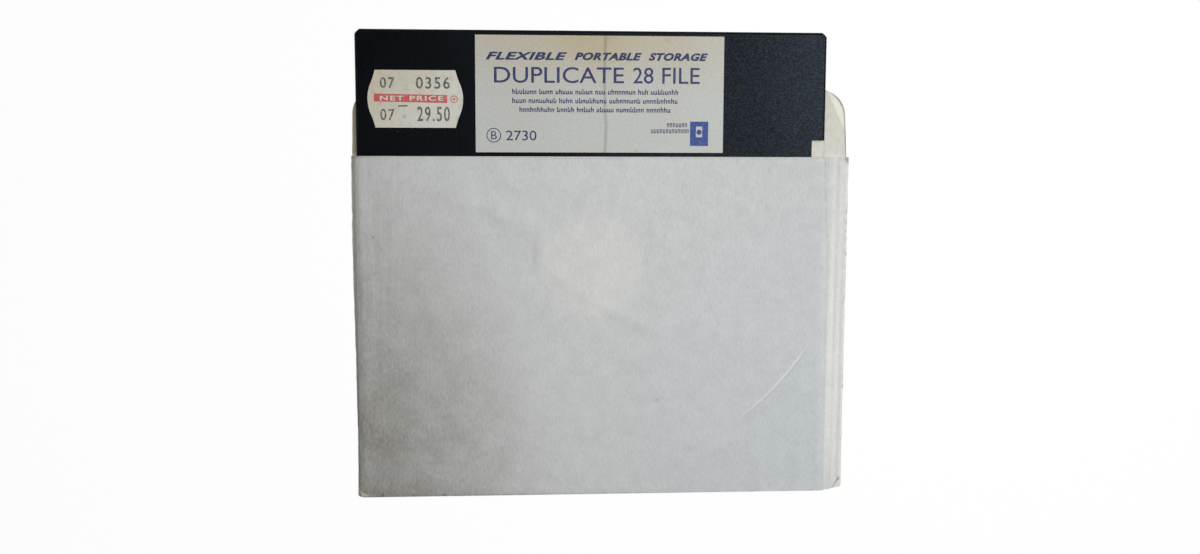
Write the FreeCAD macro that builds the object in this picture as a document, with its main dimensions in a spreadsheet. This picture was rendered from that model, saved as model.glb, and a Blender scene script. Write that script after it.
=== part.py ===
import FreeCAD, Part
import Sketcher
import math
import os

# A flexible magnetic disk of the 5.25-inch size in its paper sleeve.
# It lies on its back: +Z comes out of the face, +Y points to the label edge
# and +X to the edge with the write notch. The origin is the hub centre, at
# half the thickness of the magnetic disc. All sizes are in millimetres.

SIZES = [
    # The magnetic disc and the ring that stiffens its hub hole
    ("hub_bore", 28.575, "hole that the drive's spindle fills"),
    ("disc_thickness", 0.08, "coated polyester film"),
    ("disc_edge_gap", 1.325, "disc rim to the inside of the jacket's folds"),
    ("index_hole", 2.54, "hole that marks the start of a turn"),
    ("ring_width", 3.2, "hub ring, bore to rim"),
    ("ring_thickness", 0.10, "hub ring"),
    # The jacket, one folded sheet
    ("cartridge_side", 133.35, "side of the square jacket"),
    ("sheet_thickness", 0.25, "vinyl sheet of the jacket"),
    ("disc_side_gap", 0.15, "free space each side of the disc"),
    ("flap_width", 12.0, "fold edge to the inner edge of a flap"),
    ("flap_foot", 1.6, "bottom edge to the lower end of a side flap"),
    ("flap_bevel", 4.0, "slant of a side flap's lower end"),
    ("mitre_gap", 0.5, "slit between two flaps at a corner"),
    ("rear_tuck", 0.3, "edge of the rear panel to the start of a fold"),
    ("corner_cut", 1.4, "clipped corner of the jacket"),
    # The openings of the jacket
    ("hub_window_margin", 5.5625, "hub bore to the edge of the hub window"),
    ("head_slot_width", 12.7, "slot for the heads"),
    ("head_slot_inner", 28.4, "hub centre to the inner end of the slot"),
    ("head_slot_edge", 3.3, "outer end of the slot to the bottom edge"),
    ("index_window", 6.35, "window over the index hole"),
    ("index_web", 2.375, "sheet left between hub window and index window"),
    ("index_angle", 16.7, "index window, in degrees from the right"),
    ("notch_depth", 3.8, "write notch, from the right edge"),
    ("notch_height", 6.35, "write notch, along the right edge"),
    ("notch_top", 30.5, "upper side of the write notch to the top edge"),
    ("relief_spacing", 24.6, "between the two relief notches at the slot"),
    ("relief_width", 3.3, "relief notch"),
    ("relief_depth", 1.8, "relief notch"),
    # The liners
    ("liner_thickness", 0.20, "nonwoven fabric"),
    ("liner_inset", 2.6, "edge of the jacket to the edge of a liner"),
    ("liner_recess", 0.3, "liner set back from the edges of the openings"),
    # The weld spots that hold the flaps
    ("weld_spot", 2.6, "round mark of the welding tip"),
    ("weld_sink", 0.06, "depth of a weld mark"),
    ("weld_pitch", 15.0, "spacing along a flap"),
    ("weld_count", 7, "marks on each flap"),
    # What is stuck on the face
    ("sticker_margin", 3.4, "left edge of the jacket to the price sticker"),
    ("sticker_drop", 11.3, "top edge of the jacket to the price sticker"),
    ("sticker_width", 26.6, "over the bulging sides"),
    ("sticker_top_width", 22.4, "straight top and bottom edges"),
    ("sticker_height", 16.0, "price sticker"),
    ("sticker_middle", 8.2, "height of the bulging middle of a side"),
    ("sticker_bow", 0.8, "how far the middle of a side bulges"),
    ("sticker_dip", 22.0, "radius of the hollow between the bulge and a corner"),
    ("sticker_thickness", 0.08, "price sticker"),
    ("label_gap", 3.45, "price sticker to the label"),
    ("label_drop", 1.4, "top edge of the jacket to the label"),
    ("label_width", 70.3, "label"),
    ("label_height", 32.7, "label"),
    ("label_thickness", 0.10, "label"),
    # The sleeve, one folded sheet of paper
    ("paper", 0.15, "sleeve paper"),
    ("sleeve_clearance", 0.10, "jacket to the sleeve, front and back"),
    ("sleeve_left_gap", 1.6, "jacket to the left fold"),
    ("sleeve_right_gap", 7.6, "jacket to the right fold"),
    ("sleeve_bottom_gap", 0.5, "jacket to the bottom fold"),
    ("left_lift", 1.35, "width of the paper rising from the left fold"),
    ("right_lift", 6.9, "width of the paper rising from the right fold"),
    ("bottom_lift", 0.25, "width of the paper rising from the bottom fold"),
    ("front_height", 98.6, "bottom fold to the mouth"),
    ("back_height", 118.0, "bottom fold to the top of the back panel"),
    ("back_left_step", 0.3, "left fold to the side of the back panel"),
    ("back_right_step", 0.75, "right fold to the side of the back panel"),
    ("back_left_taper", 0.3, "lean of the back panel's left side"),
    ("back_right_taper", 1.15, "lean of the back panel's right side"),
    ("back_corner", 7.8, "rounded top corners of the back panel"),
    ("worn_corner_width", 4.2, "blunted corner at the bottom right"),
    ("worn_corner_height", 1.15, "blunted corner at the bottom right"),
    ("worn_corner_fade", 0.8, "share of the blunting lost at the front panel"),
    ("soft_corner", 0.8, "corner at the bottom left"),
    ("glue_flap", 15.0, "flap glued to the back panel"),
    ("glue_flap_slant", 8.0, "slant of the ends of a glued flap"),
    ("glue_flap_start", 3.0, "fold and mouth to the ends of a glued flap"),
]

doc = FreeCAD.newDocument("disk")
sheet = doc.addObject("Spreadsheet::Sheet", "Sizes")
for row, (alias, value, meaning) in enumerate(SIZES, 1):
    sheet.set("A%d" % row, meaning)
    sheet.set("B%d" % row, str(value))
    sheet.setAlias("B%d" % row, alias)
doc.recompute()


# Places that several pieces share, worked out from the sizes
HALF = "(Sizes.cartridge_side / 2)"
DISC_FACE = "(Sizes.disc_thickness / 2)"
LINER_IN = "(%s + Sizes.disc_side_gap)" % DISC_FACE
PANEL_IN = "(%s + Sizes.liner_thickness)" % LINER_IN
PANEL_OUT = "(%s + Sizes.sheet_thickness)" % PANEL_IN
FLAP_OUT = "(%s + Sizes.sheet_thickness)" % PANEL_OUT
HUB_WINDOW = "(Sizes.hub_bore + 2 * Sizes.hub_window_margin)"
INDEX_REACH = "(%s / 2 + Sizes.index_web + Sizes.index_window / 2)" % HUB_WINDOW
INDEX_X = "(%s * cos(Sizes.index_angle * 1deg))" % INDEX_REACH
INDEX_Y = "(%s * sin(Sizes.index_angle * 1deg))" % INDEX_REACH
STICKER_LEFT = "(Sizes.sticker_margin - %s)" % HALF
LABEL_LEFT = "(%s + Sizes.sticker_width + Sizes.label_gap)" % STICKER_LEFT
SLEEVE_FRONT_IN = "(%s + Sizes.label_thickness + Sizes.sleeve_clearance)" % PANEL_OUT
SLEEVE_FRONT = "(%s + Sizes.paper)" % SLEEVE_FRONT_IN
SLEEVE_BACK = "(%s + Sizes.sleeve_clearance + Sizes.paper)" % FLAP_OUT
SLEEVE_RISE = "(%s + %s)" % (SLEEVE_FRONT, SLEEVE_BACK)
SLEEVE_LEFT = "(-%s - Sizes.sleeve_left_gap)" % HALF
SLEEVE_RIGHT = "(%s + Sizes.sleeve_right_gap)" % HALF
SLEEVE_BOTTOM = "(-%s - Sizes.sleeve_bottom_gap)" % HALF
MOUTH = "(%s + Sizes.front_height)" % SLEEVE_BOTTOM

# How far a cutting outline runs past the material
PAST = "1"


def number(expression):
    return float(sheet.evalExpression(str(expression)))


def new_body(label):
    body = doc.addObject("PartDesign::Body", label)
    body.Label = label
    body.Placement = FreeCAD.Placement()
    return body


def new_sketch(body, name, role="XY_Plane", level=None):
    """A sketch on one of the body's own planes, lifted to a level if one is given."""
    plane = [item for item in body.Origin.OriginFeatures if item.Role == role][0]
    sketch = body.newObject("Sketcher::SketchObject", name)
    sketch.AttachmentSupport = [(plane, "")]
    sketch.MapMode = "FlatFace"
    if level is not None:
        sketch.setExpression("AttachmentOffset.Base.z", level)
    return sketch


def bind(sketch, constraint, name, expression):
    index = sketch.addConstraint(constraint)
    sketch.renameConstraint(index, name)
    sketch.setExpression("Constraints." + name, expression)


def add_outline(sketch, corners):
    """A closed outline. A corner is (x, y) where a straight side starts, or
    (x, y, radius, turn) where an arc starts, with turn "left" or "right"."""
    places = [FreeCAD.Vector(number(c[0]), number(c[1]), 0) for c in corners]
    first = sketch.GeometryCount
    ends = []
    for index, corner in enumerate(corners):
        start = places[index]
        stop = places[(index + 1) % len(corners)]
        if len(corner) == 2:
            geometry = sketch.addGeometry(Part.LineSegment(start, stop))
            ends.append((geometry, 1, 2))
            continue
        radius = number(corner[2])
        if corner[3] == "right":
            start, stop = stop, start
        chord = stop - start
        rise = math.sqrt(max(radius ** 2 - chord.Length ** 2 / 4, 0))
        side = FreeCAD.Vector(-chord.y, chord.x, 0).normalize()
        centre = (start + stop) / 2 + side * rise
        from_angle = math.atan2(start.y - centre.y, start.x - centre.x)
        to_angle = math.atan2(stop.y - centre.y, stop.x - centre.x)
        circle = Part.Circle(centre, FreeCAD.Vector(0, 0, 1), radius)
        geometry = sketch.addGeometry(Part.ArcOfCircle(circle, from_angle, to_angle))
        ends.append((geometry, 1, 2) if corner[3] == "left" else (geometry, 2, 1))
    for index, corner in enumerate(corners):
        geometry, start_end, stop_end = ends[index]
        following, following_start, _ = ends[(index + 1) % len(corners)]
        sketch.addConstraint(
            Sketcher.Constraint("Coincident", geometry, stop_end, following, following_start))
        for axis, expression in (("X", corner[0]), ("Y", corner[1])):
            name = "corner%d_%s" % (first + index, axis.lower())
            value = number(expression)
            if expression == "0":
                line = -2 if axis == "X" else -1
                sketch.addConstraint(
                    Sketcher.Constraint("PointOnObject", geometry, start_end, line))
            else:
                constraint = Sketcher.Constraint(
                    "Distance" + axis, -1, 1, geometry, start_end, value)
                bind(sketch, constraint, name, expression)
        if len(corner) == 4:
            constraint = Sketcher.Constraint("Radius", geometry, number(corner[2]))
            bind(sketch, constraint, "radius%d" % (first + index), corner[2])


def add_rectangle(sketch, left, bottom, right, top):
    add_outline(sketch, [(left, bottom), (right, bottom), (right, top), (left, top)])


def add_circle(sketch, x, y, diameter):
    centre = FreeCAD.Vector(number(x), number(y), 0)
    circle = Part.Circle(centre, FreeCAD.Vector(0, 0, 1), number(diameter) / 2)
    geometry = sketch.addGeometry(circle)
    for axis, expression in (("X", x), ("Y", y)):
        if expression == "0":
            line = -2 if axis == "X" else -1
            sketch.addConstraint(Sketcher.Constraint("PointOnObject", geometry, 3, line))
        else:
            constraint = Sketcher.Constraint(
                "Distance" + axis, -1, 1, geometry, 3, number(expression))
            bind(sketch, constraint, "centre%d_%s" % (geometry, axis.lower()), expression)
    constraint = Sketcher.Constraint("Diameter", geometry, number(diameter))
    bind(sketch, constraint, "diameter%d" % geometry, diameter)


def pad(body, name, sketch, length, side="One side", reverse=False):
    feature = body.newObject("PartDesign::Pad", name)
    feature.Profile = sketch
    feature.SideType = side
    feature.Reversed = reverse
    feature.setExpression("Length", length)
    return feature


def cut(body, name, sketch, depth=None, reverse=False):
    """A pocket, right through both ways if no depth is given."""
    feature = body.newObject("PartDesign::Pocket", name)
    feature.Profile = sketch
    feature.Reversed = reverse
    if depth is None:
        feature.Type = "ThroughAll"
        feature.SideType = "Symmetric"
    else:
        feature.setExpression("Length", depth)
    return feature


def add_windows(sketch, margin):
    """Hub window, head slot and index window, each wider all round by margin."""
    add_circle(sketch, "0", "0", "%s + 2 * %s" % (HUB_WINDOW, margin))
    add_circle(sketch, INDEX_X, INDEX_Y, "Sizes.index_window + 2 * %s" % margin)
    reach = "(Sizes.head_slot_width / 2 + %s)" % margin
    inner = "(-Sizes.head_slot_inner + %s)" % margin
    outer = "(-%s + Sizes.head_slot_edge - %s)" % (HALF, margin)
    add_outline(sketch, [
        ("-" + reach, "%s - %s" % (inner, reach)),
        ("-" + reach, "%s + %s" % (outer, reach), reach, "left"),
        ("0", outer, reach, "left"),
        (reach, "%s + %s" % (outer, reach)),
        (reach, "%s - %s" % (inner, reach), reach, "left"),
        ("0", inner, reach, "left"),
    ])


def add_notch(sketch, margin):
    """The write notch, open at the right edge."""
    top = "(%s - Sizes.notch_top)" % HALF
    add_rectangle(
        sketch,
        "%s - Sizes.notch_depth - %s" % (HALF, margin),
        "%s - Sizes.notch_height - %s" % (top, margin),
        "%s + %s" % (HALF, PAST),
        "%s + %s" % (top, margin))


def find_edges(shape, wanted):
    """Names of the edges whose middle lies at one of the wanted points."""
    names = []
    for point in wanted:
        spot = FreeCAD.Vector(*[number(value) for value in point])
        middles = [edge.valueAt((edge.FirstParameter + edge.LastParameter) / 2)
                   for edge in shape.Edges]
        nearest = min(range(len(middles)), key=lambda i: (middles[i] - spot).Length)
        names.append("Edge%d" % (nearest + 1))
    return names


# Jacket: one vinyl sheet. The front panel runs on round the bottom fold into
# the rear panel, and its other three sides fold over the rear panel as flaps
# that are welded down.
jacket = new_body("jacket")
FOLD_RADIUS = "((%s + %s) / 2)" % (PANEL_OUT, FLAP_OUT)
FOLD_INSIDE = "(%s - Sizes.sheet_thickness)" % FOLD_RADIUS
FOLD_LEVEL = "((%s - %s) / 2)" % (PANEL_OUT, FLAP_OUT)
FOLD_START = "(%s - %s)" % (HALF, FOLD_RADIUS)
REAR_EDGE = "(%s - Sizes.rear_tuck)" % FOLD_START
FLAP_EDGE = "(%s - Sizes.flap_width)" % HALF

sketch = new_sketch(jacket, "front_panel_outline", level=PANEL_IN)
add_rectangle(sketch, "-" + FOLD_START, "-%s + %s" % (HALF, PANEL_OUT), FOLD_START, FOLD_START)
pad(jacket, "front_panel", sketch, "Sizes.sheet_thickness")


def fold_corners(sign, turn, back_turn):
    """Section of a fold and its flap, on the side that sign gives."""
    return [
        (sign + FOLD_START, PANEL_OUT, FOLD_RADIUS, turn),
        (sign + HALF, FOLD_LEVEL, FOLD_RADIUS, turn),
        (sign + FOLD_START, "-" + FLAP_OUT),
        (sign + FLAP_EDGE, "-" + FLAP_OUT),
        (sign + FLAP_EDGE, "-" + PANEL_OUT),
        (sign + FOLD_START, "-" + PANEL_OUT, FOLD_INSIDE, back_turn),
        (sign + "(%s - Sizes.sheet_thickness)" % HALF, FOLD_LEVEL, FOLD_INSIDE, back_turn),
        (sign + FOLD_START, PANEL_IN),
    ]


sketch = new_sketch(jacket, "side_fold_sections", "XZ_Plane")
add_outline(sketch, fold_corners("-", "left", "right"))
add_outline(sketch, fold_corners("", "right", "left"))
side_folds = pad(jacket, "side_folds", sketch, "%s - Sizes.flap_foot" % HALF, "Two sides")
side_folds.setExpression("Length2", HALF)

sketch = new_sketch(jacket, "top_fold_section", "YZ_Plane")
add_outline(sketch, fold_corners("", "right", "left"))
pad(jacket, "top_fold", sketch, "2 * " + HALF, "Symmetric")

bottom_fold_start = "(-%s + %s)" % (HALF, PANEL_OUT)
sketch = new_sketch(jacket, "bottom_fold_section", "YZ_Plane")
add_outline(sketch, [
    (bottom_fold_start, PANEL_OUT, PANEL_OUT, "left"),
    ("-" + HALF, "0", PANEL_OUT, "left"),
    (bottom_fold_start, "-" + PANEL_OUT),
    (REAR_EDGE, "-" + PANEL_OUT),
    (REAR_EDGE, "-" + PANEL_IN),
    (bottom_fold_start, "-" + PANEL_IN, PANEL_IN, "right"),
    ("-%s + Sizes.sheet_thickness" % HALF, "0", PANEL_IN, "right"),
    (bottom_fold_start, PANEL_IN),
])
pad(jacket, "rear_panel", sketch, "2 * " + REAR_EDGE, "Symmetric")

# Openings through both panels
sketch = new_sketch(jacket, "window_outlines")
add_windows(sketch, "0")
cut(jacket, "windows", sketch)
sketch = new_sketch(jacket, "notch_outline")
add_notch(sketch, "0")
cut(jacket, "write_notch", sketch)

# Two notches in the bottom fold let the sheet flex beside the head slot
sketch = new_sketch(jacket, "relief_outlines")
for sign in ("-", ""):
    middle = "(%sSizes.relief_spacing / 2)" % sign
    round_end = "(Sizes.relief_width / 2)"
    below = "-%s - %s" % (HALF, PAST)
    crest = "(-%s + Sizes.relief_depth)" % HALF
    add_outline(sketch, [
        ("%s - %s" % (middle, round_end), below),
        ("%s + %s" % (middle, round_end), below),
        ("%s + %s" % (middle, round_end), "%s - %s" % (crest, round_end), round_end, "left"),
        (middle, crest, round_end, "left"),
        ("%s - %s" % (middle, round_end), "%s - %s" % (crest, round_end)),
    ])
cut(jacket, "relief_notches", sketch)

sketch = new_sketch(jacket, "corner_outlines")
over = "(%s + %s)" % (HALF, PAST)
short = "(%s - Sizes.corner_cut - %s)" % (HALF, PAST)
for side in ("-", ""):
    add_outline(sketch, [(side + over, short), (side + over, over), (side + short, over)])
cut(jacket, "clipped_corners", sketch)

# Flap ends: slits where two flaps meet, and slanted lower ends
sketch = new_sketch(jacket, "flap_end_outlines", level="-" + FLAP_OUT)
flap_low = "(-%s + Sizes.flap_foot)" % HALF
bevel = "(Sizes.flap_bevel + %s)" % PAST
for side in ("-", ""):
    add_outline(sketch, [
        (side + FLAP_EDGE, "%s - Sizes.mitre_gap" % FLAP_EDGE),
        (side + HALF, "%s - Sizes.mitre_gap" % HALF),
        (side + HALF, HALF),
        (side + FLAP_EDGE, FLAP_EDGE),
    ])
    add_outline(sketch, [
        ("%s(%s - %s)" % (side, FLAP_EDGE, PAST), "%s - %s" % (flap_low, PAST)),
        ("%s(%s + %s)" % (side, FLAP_EDGE, bevel), "%s - %s" % (flap_low, PAST)),
        ("%s(%s - %s)" % (side, FLAP_EDGE, PAST), "%s + %s" % (flap_low, bevel)),
    ])
cut(jacket, "flap_ends", sketch, "Sizes.sheet_thickness", reverse=True)

# The marks of the welding tips, in a row along each flap
WELD_LINE = "(%s - Sizes.flap_width / 2)" % HALF
WELD_RUN = "(Sizes.weld_pitch * (Sizes.weld_count - 1))"
for name, axis_role, spots in (
        ("side_weld", "Y_Axis", [("-" + WELD_LINE, "-%s / 2" % WELD_RUN),
                                 (WELD_LINE, "-%s / 2" % WELD_RUN)]),
        ("top_weld", "X_Axis", [("-%s / 2" % WELD_RUN, WELD_LINE)])):
    sketch = new_sketch(jacket, name + "_outline", level="-" + FLAP_OUT)
    for x, y in spots:
        add_circle(sketch, x, y, "Sizes.weld_spot")
    mark = cut(jacket, name, sketch, "Sizes.weld_sink", reverse=True)
    row = jacket.newObject("PartDesign::LinearPattern", name + "_row")
    row.Originals = [mark]
    axis = [item for item in jacket.Origin.OriginFeatures if item.Role == axis_role][0]
    row.Direction = (axis, [""])
    row.setExpression("Length", WELD_RUN)
    row.setExpression("Occurrences", "Sizes.weld_count")
    jacket.Tip = row


# Liner: nonwoven fabric behind each panel, cut with the same openings
def make_liner(label, level):
    liner = new_body(label)
    sketch = new_sketch(liner, label + "_outline", level=level)
    edge = "(%s - Sizes.liner_inset)" % HALF
    add_rectangle(sketch, "-" + edge, "-" + edge, edge, edge)
    pad(liner, label + "_sheet", sketch, "Sizes.liner_thickness")
    sketch = new_sketch(liner, label + "_windows")
    add_windows(sketch, "Sizes.liner_recess")
    cut(liner, label + "_openings", sketch)
    sketch = new_sketch(liner, label + "_notch")
    add_notch(sketch, "Sizes.liner_recess")
    cut(liner, label + "_side_cut", sketch)


make_liner("front_liner", LINER_IN)
make_liner("rear_liner", "-" + PANEL_IN)

# Magnetic disc: coated film, free to turn between the liners
disc = new_body("magnetic_disc")
sketch = new_sketch(disc, "disc_outline", level="-" + DISC_FACE)
add_circle(sketch, "0", "0", "2 * (%s - Sizes.sheet_thickness - Sizes.disc_edge_gap)" % HALF)
add_circle(sketch, "0", "0", "Sizes.hub_bore")
add_circle(sketch, INDEX_X, INDEX_Y, "Sizes.index_hole")
pad(disc, "film", sketch, "Sizes.disc_thickness")

# Hub ring: stiffens the edge that the drive clamps
ring = new_body("hub_ring")
sketch = new_sketch(ring, "ring_outline", level=DISC_FACE)
add_circle(sketch, "0", "0", "Sizes.hub_bore + 2 * Sizes.ring_width")
add_circle(sketch, "0", "0", "Sizes.hub_bore")
pad(ring, "ring", sketch, "Sizes.ring_thickness")

# Price sticker: straight top and bottom, wavy die-cut sides
sticker = new_body("price_sticker")
sketch = new_sketch(sticker, "sticker_outline", level=PANEL_OUT)
sticker_middle = "(%s + Sizes.sticker_width / 2)" % STICKER_LEFT
sticker_top = "(%s - Sizes.sticker_drop)" % HALF
sticker_centre = "(%s - Sizes.sticker_height / 2)" % sticker_top
half_top = "(Sizes.sticker_top_width / 2)"
half_wide = "(Sizes.sticker_width / 2 - Sizes.sticker_bow)"
shoulder = "(Sizes.sticker_middle / 2)"
bow_radius = "((%s ^ 2 + Sizes.sticker_bow ^ 2) / (2 * Sizes.sticker_bow))" % shoulder
add_outline(sketch, [
    ("%s - %s" % (sticker_middle, half_top), "%s + Sizes.sticker_height / 2" % sticker_centre,
     "Sizes.sticker_dip", "right"),
    ("%s - %s" % (sticker_middle, half_wide), "%s + %s" % (sticker_centre, shoulder),
     bow_radius, "left"),
    ("%s - %s" % (sticker_middle, half_wide), "%s - %s" % (sticker_centre, shoulder),
     "Sizes.sticker_dip", "right"),
    ("%s - %s" % (sticker_middle, half_top), "%s - Sizes.sticker_height / 2" % sticker_centre),
    ("%s + %s" % (sticker_middle, half_top), "%s - Sizes.sticker_height / 2" % sticker_centre,
     "Sizes.sticker_dip", "right"),
    ("%s + %s" % (sticker_middle, half_wide), "%s - %s" % (sticker_centre, shoulder),
     bow_radius, "left"),
    ("%s + %s" % (sticker_middle, half_wide), "%s + %s" % (sticker_centre, shoulder),
     "Sizes.sticker_dip", "right"),
    ("%s + %s" % (sticker_middle, half_top), "%s + Sizes.sticker_height / 2" % sticker_centre),
])
pad(sticker, "sticker", sketch, "Sizes.sticker_thickness")

# Label: plain paper rectangle
label = new_body("label")
sketch = new_sketch(label, "label_outline", level=PANEL_OUT)
label_top = "(%s - Sizes.label_drop)" % HALF
add_rectangle(
    sketch, LABEL_LEFT, "%s - Sizes.label_height" % label_top,
    "%s + Sizes.label_width" % LABEL_LEFT, label_top)
pad(label, "label_paper", sketch, "Sizes.label_thickness")

# Sleeve: one sheet of paper, folded at the bottom and at both sides. The
# front panel stands off the back panel by the thickness of the disk, so it
# falls to the folds in sloping strips, wide at the right where the sleeve is
# too large.
sleeve = new_body("sleeve")


def sleeve_outline(name, level, share, inset, mouth):
    """Outline of the envelope at a level, share of the way up its sloping
    sides, drawn in by inset times the slope's own length. The blunted corner
    is a slanting cut, drawn in square to itself, which fades up the slope."""
    sketch = new_sketch(sleeve, name, level=level)

    def reach(run):
        slope = "sqrt(1 + (%s / %s) ^ 2)" % (run, SLEEVE_RISE)
        return "(%s * %s + %s * %s)" % (run, share, inset, slope)

    left = "(%s + %s)" % (SLEEVE_LEFT, reach("Sizes.left_lift"))
    right = "(%s - %s)" % (SLEEVE_RIGHT, reach("Sizes.right_lift"))
    bottom = "(%s + %s)" % (SLEEVE_BOTTOM, reach("Sizes.bottom_lift"))
    soft = "(Sizes.soft_corner - %s)" % inset
    kept = "(1 - %s * Sizes.worn_corner_fade)" % share
    wide = "(Sizes.worn_corner_width * %s)" % kept
    high = "(Sizes.worn_corner_height * %s)" % kept
    slant = "sqrt(%s ^ 2 + %s ^ 2)" % (wide, high)
    cut_left = "(%s - %s * (1 - (%s - %s) / %s))" % (wide, inset, slant, wide, high)
    cut_up = "(%s - %s * (1 - (%s - %s) / %s))" % (high, inset, slant, high, wide)
    add_outline(sketch, [
        ("%s + %s" % (left, soft), bottom),
        ("%s - %s" % (right, cut_left), bottom),
        (right, "%s + %s" % (bottom, cut_up)),
        (right, mouth),
        (left, mouth),
        (left, "%s + %s" % (bottom, soft), soft, "left"),
    ])
    return sketch


def loft(body, kind, name, lower, upper):
    feature = body.newObject("PartDesign::" + kind, name)
    feature.Profile = lower
    feature.Sections = [upper]
    feature.Ruled = True
    return feature


loft(sleeve, "AdditiveLoft", "envelope",
     sleeve_outline("fold_line", "-" + SLEEVE_BACK, "0", "0", MOUTH),
     sleeve_outline("front_edge", SLEEVE_FRONT, "1", "0", MOUTH))
low_share = "(Sizes.paper / %s)" % SLEEVE_RISE
beyond = "(%s + %s)" % (MOUTH, PAST)
loft(sleeve, "SubtractiveLoft", "pocket",
     sleeve_outline("pocket_floor", "-%s + Sizes.paper" % SLEEVE_BACK, low_share,
                    "Sizes.paper", beyond),
     sleeve_outline("pocket_roof", SLEEVE_FRONT_IN, "(1 - %s)" % low_share,
                    "Sizes.paper", beyond))

# The back panel runs on past the mouth, with rounded corners
back_top = "(%s + Sizes.back_height)" % SLEEVE_BOTTOM
back_left = "(%s + Sizes.back_left_step)" % SLEEVE_LEFT
back_right = "(%s - Sizes.back_right_step)" % SLEEVE_RIGHT
sketch = new_sketch(sleeve, "back_panel_outline", level="-" + SLEEVE_BACK)
add_outline(sketch, [
    (back_left, "%s - %s" % (MOUTH, PAST)),
    (back_right, "%s - %s" % (MOUTH, PAST)),
    (back_right, MOUTH),
    ("%s - Sizes.back_right_taper" % back_right, back_top),
    ("%s + Sizes.back_left_taper" % back_left, back_top),
    (back_left, MOUTH),
])
back_panel = pad(sleeve, "back_panel", sketch, "Sizes.paper")
doc.recompute()
back_level = "(Sizes.paper / 2 - %s)" % SLEEVE_BACK
corners = sleeve.newObject("PartDesign::Fillet", "back_corners")
corners.Base = (back_panel, find_edges(back_panel.Shape, [
    ("%s + Sizes.back_left_taper" % back_left, back_top, back_level),
    ("%s - Sizes.back_right_taper" % back_right, back_top, back_level),
]))
corners.setExpression("Radius", "Sizes.back_corner")

# Two flaps of the front panel are glued to the outside of the back panel
sketch = new_sketch(sleeve, "glued_flap_outlines", level="-" + SLEEVE_BACK)
glue_low = "(%s + Sizes.worn_corner_height + Sizes.glue_flap_start)" % SLEEVE_BOTTOM
glue_high = "(%s - Sizes.glue_flap_start)" % MOUTH
for edge, side in ((SLEEVE_LEFT, "+"), (SLEEVE_RIGHT, "-")):
    inner = "(%s %s Sizes.glue_flap)" % (edge, side)
    add_outline(sketch, [
        (edge, glue_low),
        (inner, "%s + Sizes.glue_flap_slant" % glue_low),
        (inner, "%s - Sizes.glue_flap_slant" % glue_high),
        (edge, glue_high),
    ])
pad(sleeve, "glued_flaps", sketch, "Sizes.paper", reverse=True)
doc.recompute()

# Nothing is written unless every object and every piece came out sound
pieces = [item for item in doc.Objects if item.TypeId == "PartDesign::Body"]
for item in doc.Objects:
    if {"Invalid", "Error"} & set(item.State):
        raise RuntimeError("%s failed: %s" % (item.Label, item.getStatusString()))
for piece in pieces:
    if piece.Shape.isNull() or not piece.Shape.isValid() or len(piece.Shape.Solids) != 1:
        raise RuntimeError("%s is not one valid solid" % piece.Label)

os.makedirs("parts", exist_ok=True)
for piece in pieces:
    piece.Shape.exportStep("parts/%s.step" % piece.Label)
    box = piece.Shape.BoundBox
    print("%-14s %9.2f mm3  x %.2f..%.2f  y %.2f..%.2f  z %.2f..%.2f" % (
        piece.Label, piece.Shape.Volume,
        box.XMin, box.XMax, box.YMin, box.YMax, box.ZMin, box.ZMax))
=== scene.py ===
import math
import random
import bmesh
import bpy
from mathutils import Matrix, Vector, noise


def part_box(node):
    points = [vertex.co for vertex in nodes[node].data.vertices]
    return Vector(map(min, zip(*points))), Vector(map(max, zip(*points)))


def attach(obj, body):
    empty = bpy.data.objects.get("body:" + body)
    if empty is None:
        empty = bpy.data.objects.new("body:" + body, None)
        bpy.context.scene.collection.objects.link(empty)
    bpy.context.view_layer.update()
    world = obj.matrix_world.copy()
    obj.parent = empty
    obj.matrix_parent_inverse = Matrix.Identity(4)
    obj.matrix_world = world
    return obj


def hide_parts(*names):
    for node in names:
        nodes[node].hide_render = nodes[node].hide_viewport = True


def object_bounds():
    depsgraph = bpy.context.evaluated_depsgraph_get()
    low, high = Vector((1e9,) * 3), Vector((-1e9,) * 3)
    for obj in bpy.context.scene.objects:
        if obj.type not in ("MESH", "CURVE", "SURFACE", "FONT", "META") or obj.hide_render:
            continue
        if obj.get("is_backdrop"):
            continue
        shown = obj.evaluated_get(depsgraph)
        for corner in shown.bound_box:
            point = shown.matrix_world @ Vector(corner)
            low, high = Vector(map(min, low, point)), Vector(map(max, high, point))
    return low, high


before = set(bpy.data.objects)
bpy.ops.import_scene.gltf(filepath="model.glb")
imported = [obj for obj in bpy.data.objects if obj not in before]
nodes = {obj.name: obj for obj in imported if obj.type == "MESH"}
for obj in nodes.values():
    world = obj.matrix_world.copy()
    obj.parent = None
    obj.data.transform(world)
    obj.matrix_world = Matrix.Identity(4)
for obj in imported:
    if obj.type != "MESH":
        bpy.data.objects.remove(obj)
cad_low, cad_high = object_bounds()
MM = 0.001

# Studio. The disk lies on its back on a white table and the camera looks down on its face.
# A soft box stands to the right, so the light fades towards the left, and a weak one on the
# left keeps the dark side from going black.
CAMERA_PLACE = (-19.72, 34.64, 342.95)
CAMERA_TURN = (-6.2777, -3.6139, 0.1782)
CAMERA_LENS = 36.0
SENSOR_WIDTH = 36.0
FLOOR_WIDTH = 3000.0
FLOOR_WHITE = "#f2f2f0"
FLOOR_SHOWN_WHITE = 0.94
SKY_LIGHT = 0.05
SOFT_BOX = {"place": (150, 60, 380), "aim": (20, -5, 0), "size": 200, "power": 1.95, "tint": "#f9fcff"}
FILL_BOX = {"place": (-520, 90, 300), "aim": (0, 0, 0), "size": 260, "power": 0.35, "tint": "#fff6e8"}


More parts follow.
